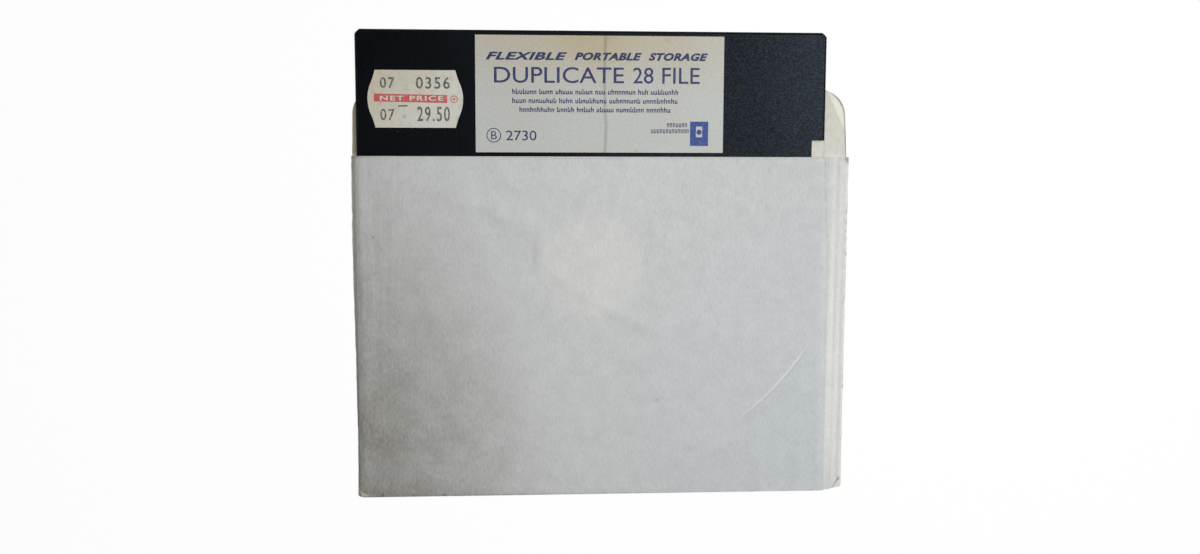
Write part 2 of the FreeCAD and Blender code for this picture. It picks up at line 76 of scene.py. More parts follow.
def linear_colour(hex_text):
    """Turns an sRGB hex colour into the linear colour that a shader takes."""
    channels = [int(hex_text[i : i + 2], 16) / 255 for i in (1, 3, 5)]
    linear = [c / 12.92 if c <= 0.04045 else ((c + 0.055) / 1.055) ** 2.4 for c in channels]
    return (*linear, 1.0)


def add_node(tree, kind, inputs=None, **settings):
    """Adds a shader node, with its settings, and its inputs as values or as sockets to link."""
    node = tree.nodes.new("ShaderNode" + kind)
    for name, value in settings.items():
        setattr(node, name, value)
    for name, value in (inputs or {}).items():
        if isinstance(value, bpy.types.NodeSocket):
            tree.links.new(value, node.inputs[name])
        else:
            node.inputs[name].default_value = value
    return node


def start_material(name):
    """Makes an empty material and returns it with its node tree."""
    material = bpy.data.materials.new(name)
    material.use_nodes = True
    material.node_tree.nodes.clear()
    return material, material.node_tree


camera = bpy.data.objects.new("camera", bpy.data.cameras.new("camera"))
camera.data.lens = CAMERA_LENS
camera.data.sensor_width = SENSOR_WIDTH
camera.data.clip_start = 10 * MM
camera.data.clip_end = 10 * FLOOR_WIDTH * MM
camera.location = Vector(CAMERA_PLACE) * MM
camera.rotation_euler = [math.radians(angle) for angle in CAMERA_TURN]
bpy.context.scene.collection.objects.link(camera)
bpy.context.scene.camera = camera
bpy.context.scene.view_settings.view_transform = "Standard"

for name, box in {"soft_box": SOFT_BOX, "fill_box": FILL_BOX}.items():
    lamp = bpy.data.objects.new(name, bpy.data.lights.new(name, "AREA"))
    lamp.data.size = box["size"] * MM
    lamp.data.energy = box["power"]
    lamp.data.color = linear_colour(box["tint"])[:3]
    lamp.location = Vector(box["place"]) * MM
    beam = Vector(box["aim"]) - Vector(box["place"])
    lamp.rotation_euler = beam.to_track_quat("-Z", "Y").to_euler()
    lamp.visible_camera = False
    bpy.context.scene.collection.objects.link(lamp)

bm = bmesh.new()
floor_place = Matrix.Translation((0, 0, cad_low.z))
bmesh.ops.create_grid(bm, x_segments=1, y_segments=1, size=FLOOR_WIDTH * MM / 2, matrix=floor_place)
floor = bpy.data.objects.new("floor", bpy.data.meshes.new("floor"))
bm.to_mesh(floor.data)
bm.free()
bpy.context.scene.collection.objects.link(floor)
floor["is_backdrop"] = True

table_white, tree = start_material("Painted table, matt white")
path = add_node(tree, "LightPath")
seen = add_node(tree, "Math", {0: path.outputs["Is Camera Ray"], 1: path.outputs["Is Glossy Ray"]},
                operation="MAXIMUM")
seen = add_node(tree, "Math", {0: seen.outputs[0], 1: path.outputs["Is Transmission Ray"]},
                operation="MAXIMUM")
share = add_node(tree, "Math", {0: seen.outputs[0], 1: FLOOR_SHOWN_WHITE}, operation="MULTIPLY")
paint = add_node(tree, "BsdfDiffuse", {"Color": linear_colour(FLOOR_WHITE)})
glow = add_node(tree, "Emission", {"Strength": 1.0})
both = add_node(tree, "MixShader", {0: share.outputs[0], 1: paint.outputs[0], 2: glow.outputs[0]})
add_node(tree, "OutputMaterial", {"Surface": both.outputs[0]})
floor.data.materials.append(table_white)

sky = bpy.data.worlds.new("sky")
sky.use_nodes = True
tree = sky.node_tree
tree.nodes.clear()
path = add_node(tree, "LightPath")
light = add_node(tree, "Background", {"Strength": SKY_LIGHT})
white = add_node(tree, "Background", {"Strength": 1.0})
for background in (light, white):
    background.inputs["Color"].default_value = (1, 1, 1, 1)
both = add_node(tree, "MixShader", {0: path.outputs["Is Camera Ray"], 1: light.outputs[0], 2: white.outputs[0]})
add_node(tree, "OutputWorld", {"Surface": both.outputs[0]})
bpy.context.scene.world = sky

# Jacket. One sheet of black PVC, calendered with a fine matt grain, then folded, mitred and
# heat-welded round the disc. The CAD solid is shown as it is, and only gets its finish:
# grey-black with a soft bluish sheen, paler where the folds have rubbed, with a little dust.
JACKET_BLACK = "#040405"
JACKET_GREY = "#08090b"
FOLD_GREY = "#262a2f"
DUST_GREY = "#6c6d6c"
SHEEN_BLUE = "#d3e6fb"
GRAIN_SIZE = 0.4
DUST_SPACING = 2.6
MIX_A, MIX_B, MIX_RESULT = 6, 7, 2
jacket_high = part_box("jacket")[1]


def dress(node_name, material):
    """Gives a CAD node its material."""
    slots = nodes[node_name].data.materials
    slots.clear()
    slots.append(material)


jacket_vinyl, tree = start_material("PVC sheet, calendered matt grain")
place = add_node(tree, "TexCoord").outputs["Object"]
# The real grain is about 0.15 mm, too fine for the render, so it is drawn nearly three times as coarse.
grain = add_node(tree, "TexNoise", {"Vector": place, "Scale": 1 / (GRAIN_SIZE * MM), "Detail": 3.0})
cloud = add_node(tree, "TexNoise", {"Vector": place, "Scale": 1 / (24 * MM), "Detail": 2.0})
tone = add_node(tree, "MapRange", {"Value": cloud.outputs["Fac"], "From Min": 0.35, "From Max": 0.7})
black = add_node(tree, "Mix", {"Factor": tone.outputs[0], MIX_A: linear_colour(JACKET_BLACK),
                               MIX_B: linear_colour(JACKET_GREY)}, data_type="RGBA")
axes = add_node(tree, "SeparateXYZ", {0: place})
across = add_node(tree, "Math", {0: axes.outputs["X"]}, operation="ABSOLUTE")
along = add_node(tree, "Math", {0: axes.outputs["Y"]}, operation="ABSOLUTE")
outwards = add_node(tree, "Math", {0: across.outputs[0], 1: along.outputs[0]}, operation="MAXIMUM")
rubbed = add_node(tree, "MapRange", {"Value": outwards.outputs[0], "From Min": jacket_high.x - 0.9 * MM,
                                     "From Max": jacket_high.x, "To Max": 0.9})
patchy = add_node(tree, "TexNoise", {"Vector": place, "Scale": 1 / (3 * MM), "Detail": 4.0})
rubbed = add_node(tree, "Math", {0: rubbed.outputs[0], 1: patchy.outputs["Fac"]}, operation="MULTIPLY")
worn = add_node(tree, "Mix", {"Factor": rubbed.outputs[0], MIX_A: black.outputs[MIX_RESULT],
                              MIX_B: linear_colour(FOLD_GREY)}, data_type="RGBA")
speck = add_node(tree, "TexVoronoi", {"Vector": place, "Scale": 1 / (DUST_SPACING * MM)})
dust = add_node(tree, "MapRange", {"Value": speck.outputs["Distance"], "From Min": 0.045,
                                   "From Max": 0.03, "To Max": 0.45})
dusty = add_node(tree, "Mix", {"Factor": dust.outputs[0], MIX_A: worn.outputs[MIX_RESULT],
                               MIX_B: linear_colour(DUST_GREY)}, data_type="RGBA")
rough = add_node(tree, "MapRange", {"Value": grain.outputs["Fac"], "From Min": 0.35, "From Max": 0.65,
                                    "To Min": 0.25, "To Max": 0.46})
# Hands have polished the upper right corner.
leaning = add_node(tree, "VectorMath", {0: place, 1: (1.0, 0.2, 0.0)}, operation="DOT_PRODUCT")
polished = add_node(tree, "MapRange", {"Value": leaning.outputs["Value"], "From Min": 54 * MM,
                                       "From Max": 77 * MM, "To Min": 0.065, "To Max": -0.04})
rough = add_node(tree, "Math", {0: rough.outputs[0], 1: polished.outputs[0]}, operation="ADD")
bump = add_node(tree, "Bump", {"Height": grain.outputs["Fac"], "Strength": 1.0, "Distance": 0.07 * MM})
surface = add_node(tree, "BsdfPrincipled", {"Base Color": dusty.outputs[MIX_RESULT], "IOR": 1.53,
                                            "Specular IOR Level": 0.066, "Specular Tint": linear_colour(SHEEN_BLUE),
                                            "Roughness": rough.outputs[0], "Normal": bump.outputs[0]})
add_node(tree, "OutputMaterial", {"Surface": surface.outputs[0]})
dress("jacket", jacket_vinyl)

# Liners. Nonwoven polyester and rayon cloth, spot-bonded to the inside of both vinyl panels,
# which wipes the disc as it turns. White-grey short fibres with small pressed dots in rows.
LINER_WHITE = "#c9cac6"
LINER_SHADE = "#a9aaa7"
BOND_PITCH = 1.6
liner_cloth, tree = start_material("Nonwoven polyester, spot-bonded")
place = add_node(tree, "TexCoord").outputs["Object"]
stretched = add_node(tree, "Mapping", {"Vector": place, "Rotation": (0, 0, math.radians(35)),
                                       "Scale": (1, 0.12, 1)})
fibres = add_node(tree, "TexNoise", {"Vector": stretched.outputs[0], "Scale": 1 / (0.3 * MM), "Detail": 4.0,
                                     "Distortion": 1.5})
dots = add_node(tree, "TexVoronoi", {"Vector": place, "Scale": 1 / (BOND_PITCH * MM), "Randomness": 0.0})
pressed_dots_and_fold_shade = add_node(tree, "MapRange", {"Value": dots.outputs["Distance"], "From Min": 0.14, "From Max": 0.24})
fluff = add_node(tree, "Math", {0: fibres.outputs["Fac"], 1: pressed_dots_and_fold_shade.outputs[0]}, operation="MULTIPLY")
white = add_node(tree, "Mix", {"Factor": fluff.outputs[0], MIX_A: linear_colour(LINER_SHADE),
                               MIX_B: linear_colour(LINER_WHITE)}, data_type="RGBA")
bump = add_node(tree, "Bump", {"Height": fluff.outputs[0], "Strength": 0.8, "Distance": 0.06 * MM})
surface = add_node(tree, "BsdfPrincipled", {"Base Color": white.outputs[MIX_RESULT], "Roughness": 0.92,
                                            "Specular IOR Level": 0.2, "Normal": bump.outputs[0]})
add_node(tree, "OutputMaterial", {"Surface": surface.outputs[0]})
dress("front_liner", liner_cloth)
dress("rear_liner", liner_cloth)

# Magnetic disc. Polyester film with a dark brown iron oxide coating on both faces, burnished
# smooth. It mirrors softly, with hardly seen rings where the liners have wiped it.
OXIDE_BROWN = "#2b1d17"
OXIDE_LIGHT = "#31221b"
RING_PITCH = 0.8
oxide_film, tree = start_material("Polyester film, burnished iron oxide coating")
place = add_node(tree, "TexCoord").outputs["Object"]
rings = add_node(tree, "TexWave", {"Vector": place, "Scale": 0.314 / (RING_PITCH * MM), "Distortion": 0.6,
                                   "Detail": 3.0}, wave_type="RINGS", rings_direction="Z")
brown = add_node(tree, "Mix", {"Factor": rings.outputs["Fac"], MIX_A: linear_colour(OXIDE_BROWN),
                               MIX_B: linear_colour(OXIDE_LIGHT)}, data_type="RGBA")
rough = add_node(tree, "MapRange", {"Value": rings.outputs["Fac"], "To Min": 0.2, "To Max": 0.3})
surface = add_node(tree, "BsdfPrincipled", {"Base Color": brown.outputs[MIX_RESULT], "IOR": 1.6,
                                            "Roughness": rough.outputs[0]})
add_node(tree, "OutputMaterial", {"Surface": surface.outputs[0]})
dress("magnetic_disc", oxide_film)

# Hub ring. Thin grey-black polyester film, punched and glued round the hub hole of the disc,
# which saves the film from the drive's cone. Satin, with short scratches from clamping.
RING_BLACK = "#1d1e20"
RING_SCRATCH = "#4a4b4d"
ring_film, tree = start_material("Polyester film, punched satin")
place = add_node(tree, "TexCoord").outputs["Object"]
stretched = add_node(tree, "Mapping", {"Vector": place, "Scale": (1, 0.2, 1)})
scratch = add_node(tree, "TexNoise", {"Vector": stretched.outputs[0], "Scale": 1 / (0.35 * MM), "Detail": 2.0})
scratched = add_node(tree, "MapRange", {"Value": scratch.outputs["Fac"], "From Min": 0.58, "From Max": 0.66})
black = add_node(tree, "Mix", {"Factor": scratched.outputs[0], MIX_A: linear_colour(RING_BLACK),
                               MIX_B: linear_colour(RING_SCRATCH)}, data_type="RGBA")
rough = add_node(tree, "MapRange", {"Value": scratch.outputs["Fac"], "To Min": 0.3, "To Max": 0.45})
surface = add_node(tree, "BsdfPrincipled", {"Base Color": black.outputs[MIX_RESULT], "IOR": 1.6,
                                            "Roughness": rough.outputs[0]})
add_node(tree, "OutputMaterial", {"Surface": surface.outputs[0]})
dress("hub_ring", ring_film)

# Label. A rectangle of coated paper stuck to the top of the face, grown yellow from its upper
# left, with two small brown stains at its top edge, an upright crease and a slanting one.
LABEL_WHITE = "#b4b4af"
LABEL_RIGHT_PAINTED_SHADE = "#b3b3ae"
LABEL_YELLOW = "#ada185"
STAIN_BROWN = "#9b8a68"
LABEL_STAINS = ((4.4, 64.2, 1.7), (20.8, 64.3, 1.3), (12.2, 32.9, 0.9))
CREASE_ACROSS = 4.6
SLANT_CREASE, SLANT_LOW = (23.0, 63.3, 49.0), 60.8
YELLOW_LOW, YELLOW_MIDDLE = 47.0, 0.0
label_low, label_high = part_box("label")
label_paper, tree = start_material("Coated label paper, die-cut")
place = add_node(tree, "TexCoord").outputs["Object"]
axes = add_node(tree, "SeparateXYZ", {0: place})
flat = add_node(tree, "CombineXYZ", {"X": axes.outputs["X"], "Y": axes.outputs["Y"]})
fibres = add_node(tree, "TexNoise", {"Vector": place, "Scale": 1 / (0.8 * MM), "Detail": 5.0})
patches = add_node(tree, "TexNoise", {"Vector": place, "Scale": 1 / (18 * MM), "Detail": 3.0})
height = add_node(tree, "MapRange", {"Value": axes.outputs["Y"], "From Min": YELLOW_LOW * MM,
                                     "From Max": label_high.y}, interpolation_type="SMOOTHSTEP")
beside = add_node(tree, "Math", {0: axes.outputs["X"], 1: YELLOW_MIDDLE * MM}, operation="SUBTRACT")
beside = add_node(tree, "Math", {0: beside.outputs[0]}, operation="ABSOLUTE")
beside = add_node(tree, "MapRange", {"Value": beside.outputs[0], "From Min": 0.0, "From Max": 32 * MM,
                                     "To Min": 1.0, "To Max": 0.34})
age = add_node(tree, "Math", {0: height.outputs[0], 1: beside.outputs[0]}, operation="MULTIPLY")
mottle = add_node(tree, "MapRange", {"Value": patches.outputs["Fac"], "From Min": 0.3, "From Max": 0.7,
                                     "To Min": -0.12, "To Max": 0.16})
age = add_node(tree, "Math", {0: age.outputs[0], 1: mottle.outputs[0]}, operation="ADD", use_clamp=True)
# Painted shade: the label is made a touch darker towards its right, where the lamp is brighter.
painted_shade_rightwards = add_node(tree, "MapRange", {"Value": axes.outputs["X"], "From Min": label_low.x,
                                        "From Max": label_high.x})
paper = add_node(tree, "Mix", {"Factor": painted_shade_rightwards.outputs[0], MIX_A: linear_colour(LABEL_WHITE),
                               MIX_B: linear_colour(LABEL_RIGHT_PAINTED_SHADE)}, data_type="RGBA")
paper = add_node(tree, "Mix", {"Factor": age.outputs[0], MIX_A: paper.outputs[MIX_RESULT],
                               MIX_B: linear_colour(LABEL_YELLOW)}, data_type="RGBA")
for across, up, radius in LABEL_STAINS:
    away = add_node(tree, "VectorMath", {0: flat.outputs[0], 1: (across * MM, up * MM, 0)},
                    operation="DISTANCE")
    ragged = add_node(tree, "Math", {0: fibres.outputs["Fac"], 1: 1.2 * MM, 2: away.outputs["Value"]},
                      operation="MULTIPLY_ADD")
    stain = add_node(tree, "MapRange", {"Value": ragged.outputs[0], "From Min": (radius + 0.6) * MM,
                                        "From Max": 0.2 * MM, "To Max": 0.42})
    paper = add_node(tree, "Mix", {"Factor": stain.outputs[0], MIX_A: paper.outputs[MIX_RESULT],
                                   MIX_B: linear_colour(STAIN_BROWN)}, data_type="RGBA")
wobble = add_node(tree, "Math", {0: patches.outputs["Fac"], 1: 3 * MM, 2: axes.outputs["X"]},
                  operation="MULTIPLY_ADD")
crease = add_node(tree, "MapRange", {"Value": wobble.outputs[0], "From Min": (CREASE_ACROSS - 0.4) * MM,
                                     "From Max": (CREASE_ACROSS + 0.8) * MM}, interpolation_type="SMOOTHSTEP")
bent = add_node(tree, "Bump", {"Height": crease.outputs[0], "Strength": 1.0, "Distance": 0.42 * MM})
# A short crease slants down from the top edge.
slanted = add_node(tree, "Mapping", {"Vector": place, "Location": (SLANT_CREASE[0] * MM, SLANT_CREASE[1] * MM, 0),
                                     "Rotation": (0, 0, math.radians(SLANT_CREASE[2]))}, vector_type="TEXTURE")
slanted = add_node(tree, "SeparateXYZ", {0: slanted.outputs[0]})
slanted = add_node(tree, "MapRange", {"Value": slanted.outputs["Y"], "From Min": -0.5 * MM, "From Max": 0.3 * MM},
                   interpolation_type="SMOOTHSTEP")
fades = add_node(tree, "MapRange", {"Value": axes.outputs["Y"], "From Min": SLANT_LOW * MM,
                                    "From Max": label_high.y})
slanted = add_node(tree, "Math", {0: slanted.outputs[0], 1: fades.outputs[0]}, operation="MULTIPLY")
bent = add_node(tree, "Bump", {"Height": slanted.outputs[0], "Strength": 0.7, "Distance": 0.25 * MM,
                               "Normal": bent.outputs[0]})
bump = add_node(tree, "Bump", {"Height": fibres.outputs["Fac"], "Strength": 0.3, "Distance": 0.05 * MM,
                               "Normal": bent.outputs[0]})
# The fibres show through the coating as a faint unevenness.
uneven = add_node(tree, "MapRange", {"Value": fibres.outputs["Fac"], "From Min": 0.3, "From Max": 0.7,
                                     "To Min": 0.945, "To Max": 1.045})
paper = add_node(tree, "VectorMath", {0: paper.outputs[MIX_RESULT], "Scale": uneven.outputs[0]},
                 operation="SCALE")
surface = add_node(tree, "BsdfPrincipled", {"Base Color": paper.outputs[0], "Roughness": 0.7,
                                            "Specular IOR Level": 0.25, "Normal": bump.outputs[0]})
add_node(tree, "OutputMaterial", {"Surface": surface.outputs[0]})
dress("label", label_paper)

# Printing on the label. Dark blue offset ink, pressed on before the label was cut: a slanted
# heavy heading, a thin large line, three lines of small print drawn as plain strokes,
# a ringed number and a square pictogram of a disk. The words are generic.
INK_BLUE = "#1a204c"
INK_THIN = "#1f2555"
EMBLEM_BLUE = "#233c7c"
INK_HEIGHT = 0.02
SLANT = 0.32


def offset_ink(name, colour, wear=0.15):
    """Printing ink on paper: matt, with the paper's fibres showing as small pale breaks."""
    material, tree = start_material(name)
    place = add_node(tree, "TexCoord").outputs["Object"]
    breaks = add_node(tree, "TexNoise", {"Vector": place, "Scale": 1 / (0.5 * MM), "Detail": 4.0})
    thin = add_node(tree, "MapRange", {"Value": breaks.outputs["Fac"], "From Min": 0.5, "From Max": 0.75,
                                       "To Max": wear})
    ink = add_node(tree, "Mix", {"Factor": thin.outputs[0], MIX_A: linear_colour(colour),
                                 MIX_B: linear_colour(LABEL_WHITE)}, data_type="RGBA")
    surface = add_node(tree, "BsdfPrincipled", {"Base Color": ink.outputs[MIX_RESULT], "Roughness": 0.6,
                                                "Specular IOR Level": 0.3})
    add_node(tree, "OutputMaterial", {"Surface": surface.outputs[0]})
    return material


def finish_piece(name, bm, material, body):
    """Turns a bmesh into a named piece that rides on a CAD body."""
    piece = bpy.data.objects.new(name, bpy.data.meshes.new(name))
    bm.to_mesh(piece.data)
    bm.free()
    piece.data.materials.append(material)
    bpy.context.scene.collection.objects.link(piece)
    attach(piece, body)
    return piece


def add_block(bm, left, right, low, high, face, tilt=0.0):
    """Adds a flat printed block between four sides given in mm, on a surface at height face."""
    middle = Vector(((left + right) / 2 * MM, (low + high) / 2 * MM, face))
    size = Vector(((right - left) * MM, (high - low) * MM, INK_HEIGHT * MM))
    turn = Matrix.Rotation(math.radians(tilt), 4, "Z")
    bmesh.ops.create_cube(bm, size=1, matrix=Matrix.Translation(middle) @ turn @ Matrix.Diagonal((*size, 1)))


def add_ring(bm, across, up, outside, inside, face):
    """Adds a flat printed ring, or a dot where inside is 0, with its sizes in mm."""
    centre = Matrix.Translation((across * MM, up * MM, face - INK_HEIGHT * MM / 2))
    made = bmesh.ops.create_circle(bm, cap_ends=inside == 0, segments=40, radius=outside * MM, matrix=centre)
    edges = list({edge for vert in made["verts"] for edge in vert.link_edges})
    faces = list({one for vert in made["verts"] for one in vert.link_faces})
    if inside > 0:
        inner = bmesh.ops.create_circle(bm, segments=40, radius=inside * MM, matrix=centre)
        edges += list({edge for vert in inner["verts"] for edge in vert.link_edges})
        faces = bmesh.ops.bridge_loops(bm, edges=edges)["faces"]
    raised = bmesh.ops.extrude_face_region(bm, geom=faces)
    tops = [part for part in raised["geom"] if isinstance(part, bmesh.types.BMVert)]
    bmesh.ops.translate(bm, verts=tops, vec=(0, 0, INK_HEIGHT * MM))
    bmesh.ops.recalc_face_normals(bm, faces=bm.faces)


def add_words(bm, words, left, right, low, high, face, slant=0.0, weight=0.0, spacing=1.0):
    """Adds flat printed words that fill the box between four sides given in mm."""
    curve = bpy.data.curves.new("words", "FONT")
    curve.body = words
    curve.shear = slant
    curve.offset = weight
    curve.space_character = spacing
    curve.extrude = 0.01
    curve.resolution_u = 4
    source = bpy.data.objects.new("words", curve)
    mesh = bpy.data.meshes.new_from_object(source)
    xs = [vert.co.x for vert in mesh.vertices]
    ys = [vert.co.y for vert in mesh.vertices]
    zs = [vert.co.z for vert in mesh.vertices]
    scale = ((right - left) * MM / (max(xs) - min(xs)), (high - low) * MM / (max(ys) - min(ys)),
             INK_HEIGHT * MM / (max(zs) - min(zs)), 1)
    to_origin = Matrix.Translation((-min(xs), -min(ys), -(min(zs) + max(zs)) / 2))
    to_place = Matrix.Translation((left * MM, low * MM, face))
    mesh.transform(to_place @ Matrix.Diagonal(scale) @ to_origin)
    bm.from_mesh(mesh)
    bmesh.ops.remove_doubles(bm, verts=bm.verts, dist=0.001 * MM)
    bpy.data.objects.remove(source)
    bpy.data.curves.remove(curve)
    bpy.data.meshes.remove(mesh)


label_face = label_high.z
ink_blue = offset_ink("Offset ink, dark blue", INK_BLUE)
ink_thin = offset_ink("Offset ink, dark blue in thin strokes", INK_THIN)
bm = bmesh.new()
HEADING = (("FLEXIBLE", -30.3, -7.4, 0.04), ("PORTABLE", -5.4, 13.7, 0.052), ("STORAGE", 15.6, 32.5, 0.052))
for word, left, right, weight in HEADING:
    add_words(bm, word, left, right, 58.4, 60.6, label_face, slant=SLANT, weight=weight, spacing=1.1)
finish_piece("printed_heading", bm, ink_blue, "jacket_body")

bm = bmesh.new()
for word, left, right in (("DUPLICATE", -28.0, 8.6), ("28", 11.2, 17.0), ("FILE", 19.5, 30.2)):
    add_words(bm, word, left, right, 52.0, 56.5, label_face, weight=0.004)
finish_piece("printed_large_line", bm, ink_thin, "jacket_body")

SMALL_LINES = ((-22.9, 25.0, 48.9), (-22.9, 25.0, 46.4), (-20.9, 23.0, 43.9))
STROKE_WIDTH = 0.27
STROKE_PITCH = 0.52
SMALL_HEIGHT = 1.0
TALL_HEIGHT = 1.5
draw = random.Random(5)
bm = bmesh.new()
for left, right, low in SMALL_LINES:
    across = left
    while across < right:
        letters = draw.randint(3, 10)
        for _ in range(letters):
            if across + 2 * STROKE_PITCH > right:
                break
            top = low + draw.choice((SMALL_HEIGHT, SMALL_HEIGHT, TALL_HEIGHT))
            bar = draw.choice((low, low + SMALL_HEIGHT - STROKE_WIDTH))
            far = across + STROKE_PITCH
            add_block(bm, across, across + STROKE_WIDTH, low, top, label_face)
            add_block(bm, far, far + STROKE_WIDTH, low, low + SMALL_HEIGHT, label_face)
            add_block(bm, across, far, bar, bar + STROKE_WIDTH, label_face)
            across += 2 * STROKE_PITCH - 0.04
        across += 0.6
finish_piece("printed_small_lines", bm, ink_thin, "jacket_body")

bm = bmesh.new()
add_ring(bm, -28.15, 37.35, 2.05, 1.8, label_face)
add_words(bm, "B", -28.9, -27.3, 36.2, 38.5, label_face)
add_words(bm, "2730", -24.7, -16.1, 35.9, 38.7, label_face, weight=0.004)
for low, left in ((39.8, 21.0), (38.1, 16.5)):
    across = left
    while across < 26.6:
        add_block(bm, across, across + 0.2, low, low + 1.1, label_face)
        add_block(bm, across + 0.42, across + 0.62, low, low + 1.1, label_face)
        bar = draw.choice((low, low + 0.9))
        add_block(bm, across, across + 0.6, bar, bar + 0.2, label_face)
        across += 0.84
finish_piece("printed_number", bm, ink_thin, "jacket_body")

bm = bmesh.new()
add_block(bm, 27.6, 32.8, 34.5, 37.0, label_face)
add_block(bm, 27.6, 29.3, 37.0, 41.4, label_face)
add_block(bm, 31.1, 32.8, 37.0, 41.4, label_face)
add_block(bm, 29.3, 31.1, 40.0, 41.4, label_face)
add_ring(bm, 30.2, 38.4, 0.75, 0.0, label_face)
finish_piece("printed_pictogram", bm, offset_ink("Offset ink, mid blue", EMBLEM_BLUE), "jacket_body")

# Price sticker. Uncoated thermal-tag paper with wavy sides from the tag gun's cutter, printed
# red before use and stamped with grey figures by the gun's inked wheels. It has yellowed.
STICKER_CREAM = "#c6c4b9"
STICKER_YELLOW = "#bfb7a4"
STICKER_WORN = "#a09b8c"
STAMP_GREY = "#54524d"
SMUDGE_GREY, SMUDGE = "#8f8c83", (-53.1, 42.4, 0.9)
TAG_RED = "#b9504a"
sticker_low, sticker_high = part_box("price_sticker")
sticker_face = sticker_high.z
sticker_paper, tree = start_material("Uncoated tag paper, die-cut")
place = add_node(tree, "TexCoord").outputs["Object"]
fibres = add_node(tree, "TexNoise", {"Vector": place, "Scale": 1 / (0.6 * MM), "Detail": 5.0})
patches = add_node(tree, "TexNoise", {"Vector": place, "Scale": 1 / (9 * MM), "Detail": 3.0})
axes = add_node(tree, "SeparateXYZ", {0: place})
age = add_node(tree, "MapRange", {"Value": patches.outputs["Fac"], "From Min": 0.35, "From Max": 0.68,
                                  "To Max": 0.25})
upper_left = add_node(tree, "Math", {0: axes.outputs["Y"], 1: axes.outputs["X"]}, operation="SUBTRACT")
upper_left = add_node(tree, "MapRange", {"Value": upper_left.outputs[0], "From Min": 92 * MM,
                                         "From Max": 112 * MM})
age = add_node(tree, "Math", {0: age.outputs[0], 1: upper_left.outputs[0]}, operation="ADD", use_clamp=True)
paper = add_node(tree, "Mix", {"Factor": age.outputs[0], MIX_A: linear_colour(STICKER_CREAM),
                               MIX_B: linear_colour(STICKER_YELLOW)}, data_type="RGBA")
flat = add_node(tree, "CombineXYZ", {"X": axes.outputs["X"], "Y": axes.outputs["Y"]})
away = add_node(tree, "VectorMath", {0: flat.outputs[0], 1: (SMUDGE[0] * MM, SMUDGE[1] * MM, 0)},
                operation="DISTANCE")
smudge = add_node(tree, "MapRange", {"Value": away.outputs["Value"], "From Min": SMUDGE[2] * MM,
                                     "From Max": 0.0, "To Max": 0.6})
paper = add_node(tree, "Mix", {"Factor": smudge.outputs[0], MIX_A: paper.outputs[MIX_RESULT],
                               MIX_B: linear_colour(SMUDGE_GREY)}, data_type="RGBA")
# Its soft surface is scuffed all over.
scuffs = add_node(tree, "TexNoise", {"Vector": place, "Scale": 1 / (1.5 * MM), "Detail": 5.0})
scuffs = add_node(tree, "MapRange", {"Value": scuffs.outputs["Fac"], "From Min": 0.48, "From Max": 0.72,
                                     "To Max": 0.34})
paper = add_node(tree, "Mix", {"Factor": scuffs.outputs[0], MIX_A: paper.outputs[MIX_RESULT],
                               MIX_B: linear_colour(STICKER_WORN)}, data_type="RGBA")
bump = add_node(tree, "Bump", {"Height": fibres.outputs["Fac"], "Strength": 0.35, "Distance": 0.04 * MM})
surface = add_node(tree, "BsdfPrincipled", {"Base Color": paper.outputs[MIX_RESULT], "Roughness": 0.85,
                                            "Specular IOR Level": 0.2, "Normal": bump.outputs[0]})
add_node(tree, "OutputMaterial", {"Surface": surface.outputs[0]})
dress("price_sticker", sticker_paper)

STAMPED = (("07", -59.8, -55.7, 50.3, 53.4), ("0356", -49.8, -40.3, 50.2, 53.5),
           ("07", -59.8, -55.8, 41.4, 44.6), ("29.50", -49.5, -40.4, 41.1, 45.3))
bm = bmesh.new()
for figures, left, right, low, high in STAMPED:
    add_words(bm, figures, left, right, low, high, sticker_face, weight=0.016, spacing=1.2)
add_block(bm, -54.8, -52.2, 45.2, 45.65, sticker_face, tilt=2)
finish_piece("stamped_figures", bm, offset_ink("Stamping ink, thin grey", STAMP_GREY, wear=0.65), "jacket_body")

bm = bmesh.new()
add_block(bm, -61.5, -41.1, 46.45, 48.65, sticker_face, tilt=-1)
add_ring(bm, -39.2, 47.35, 1.05, 0.8, sticker_face)
add_ring(bm, -39.2, 47.35, 0.35, 0.0, sticker_face)
finish_piece("printed_red_bar", bm, offset_ink("Offset ink, red", TAG_RED, wear=0.4), "jacket_body")

bm = bmesh.new()
add_words(bm, "NET PRICE", -59.8, -42.2, 46.9, 48.25, sticker_face + 0.01 * MM, weight=0.02, spacing=1.2)
finish_piece("printed_price_word", bm, offset_ink("Bare tag paper in the bar", STICKER_CREAM), "jacket_body")

# Sleeve. One sheet of thin white paper, folded at the bottom and at both sides, with two flaps
# glued to its back. It is bowed over the disk, scuffed at its folds and thin enough that the
# black jacket greys it, so the hub hole and the strip beyond the jacket's edge look paler.
SHEET_PITCH = 1.3
BEND_LEFT, BEND_RIGHT, BEND_LOW, MOUTH = -66.925, 67.375, -66.925, 31.425
FRONT_OUT, FRONT_IN, FOLD_HEIGHT = 0.99, 0.84, -1.14
FOLD_LEFT, FOLD_RIGHT, FOLD_LOW = -68.275, 74.275, -67.175
RIGHT_BULGE = 0.22
BEND_OUT, BEND_OUT_REACH = 1.2, 30.0
WAVE_HEIGHT = 0.34
RAMP = 12.0
EDGE_WANDER, LEFT_BULGE = 0.28, 0.25
CORNER_LIFT = 0.7
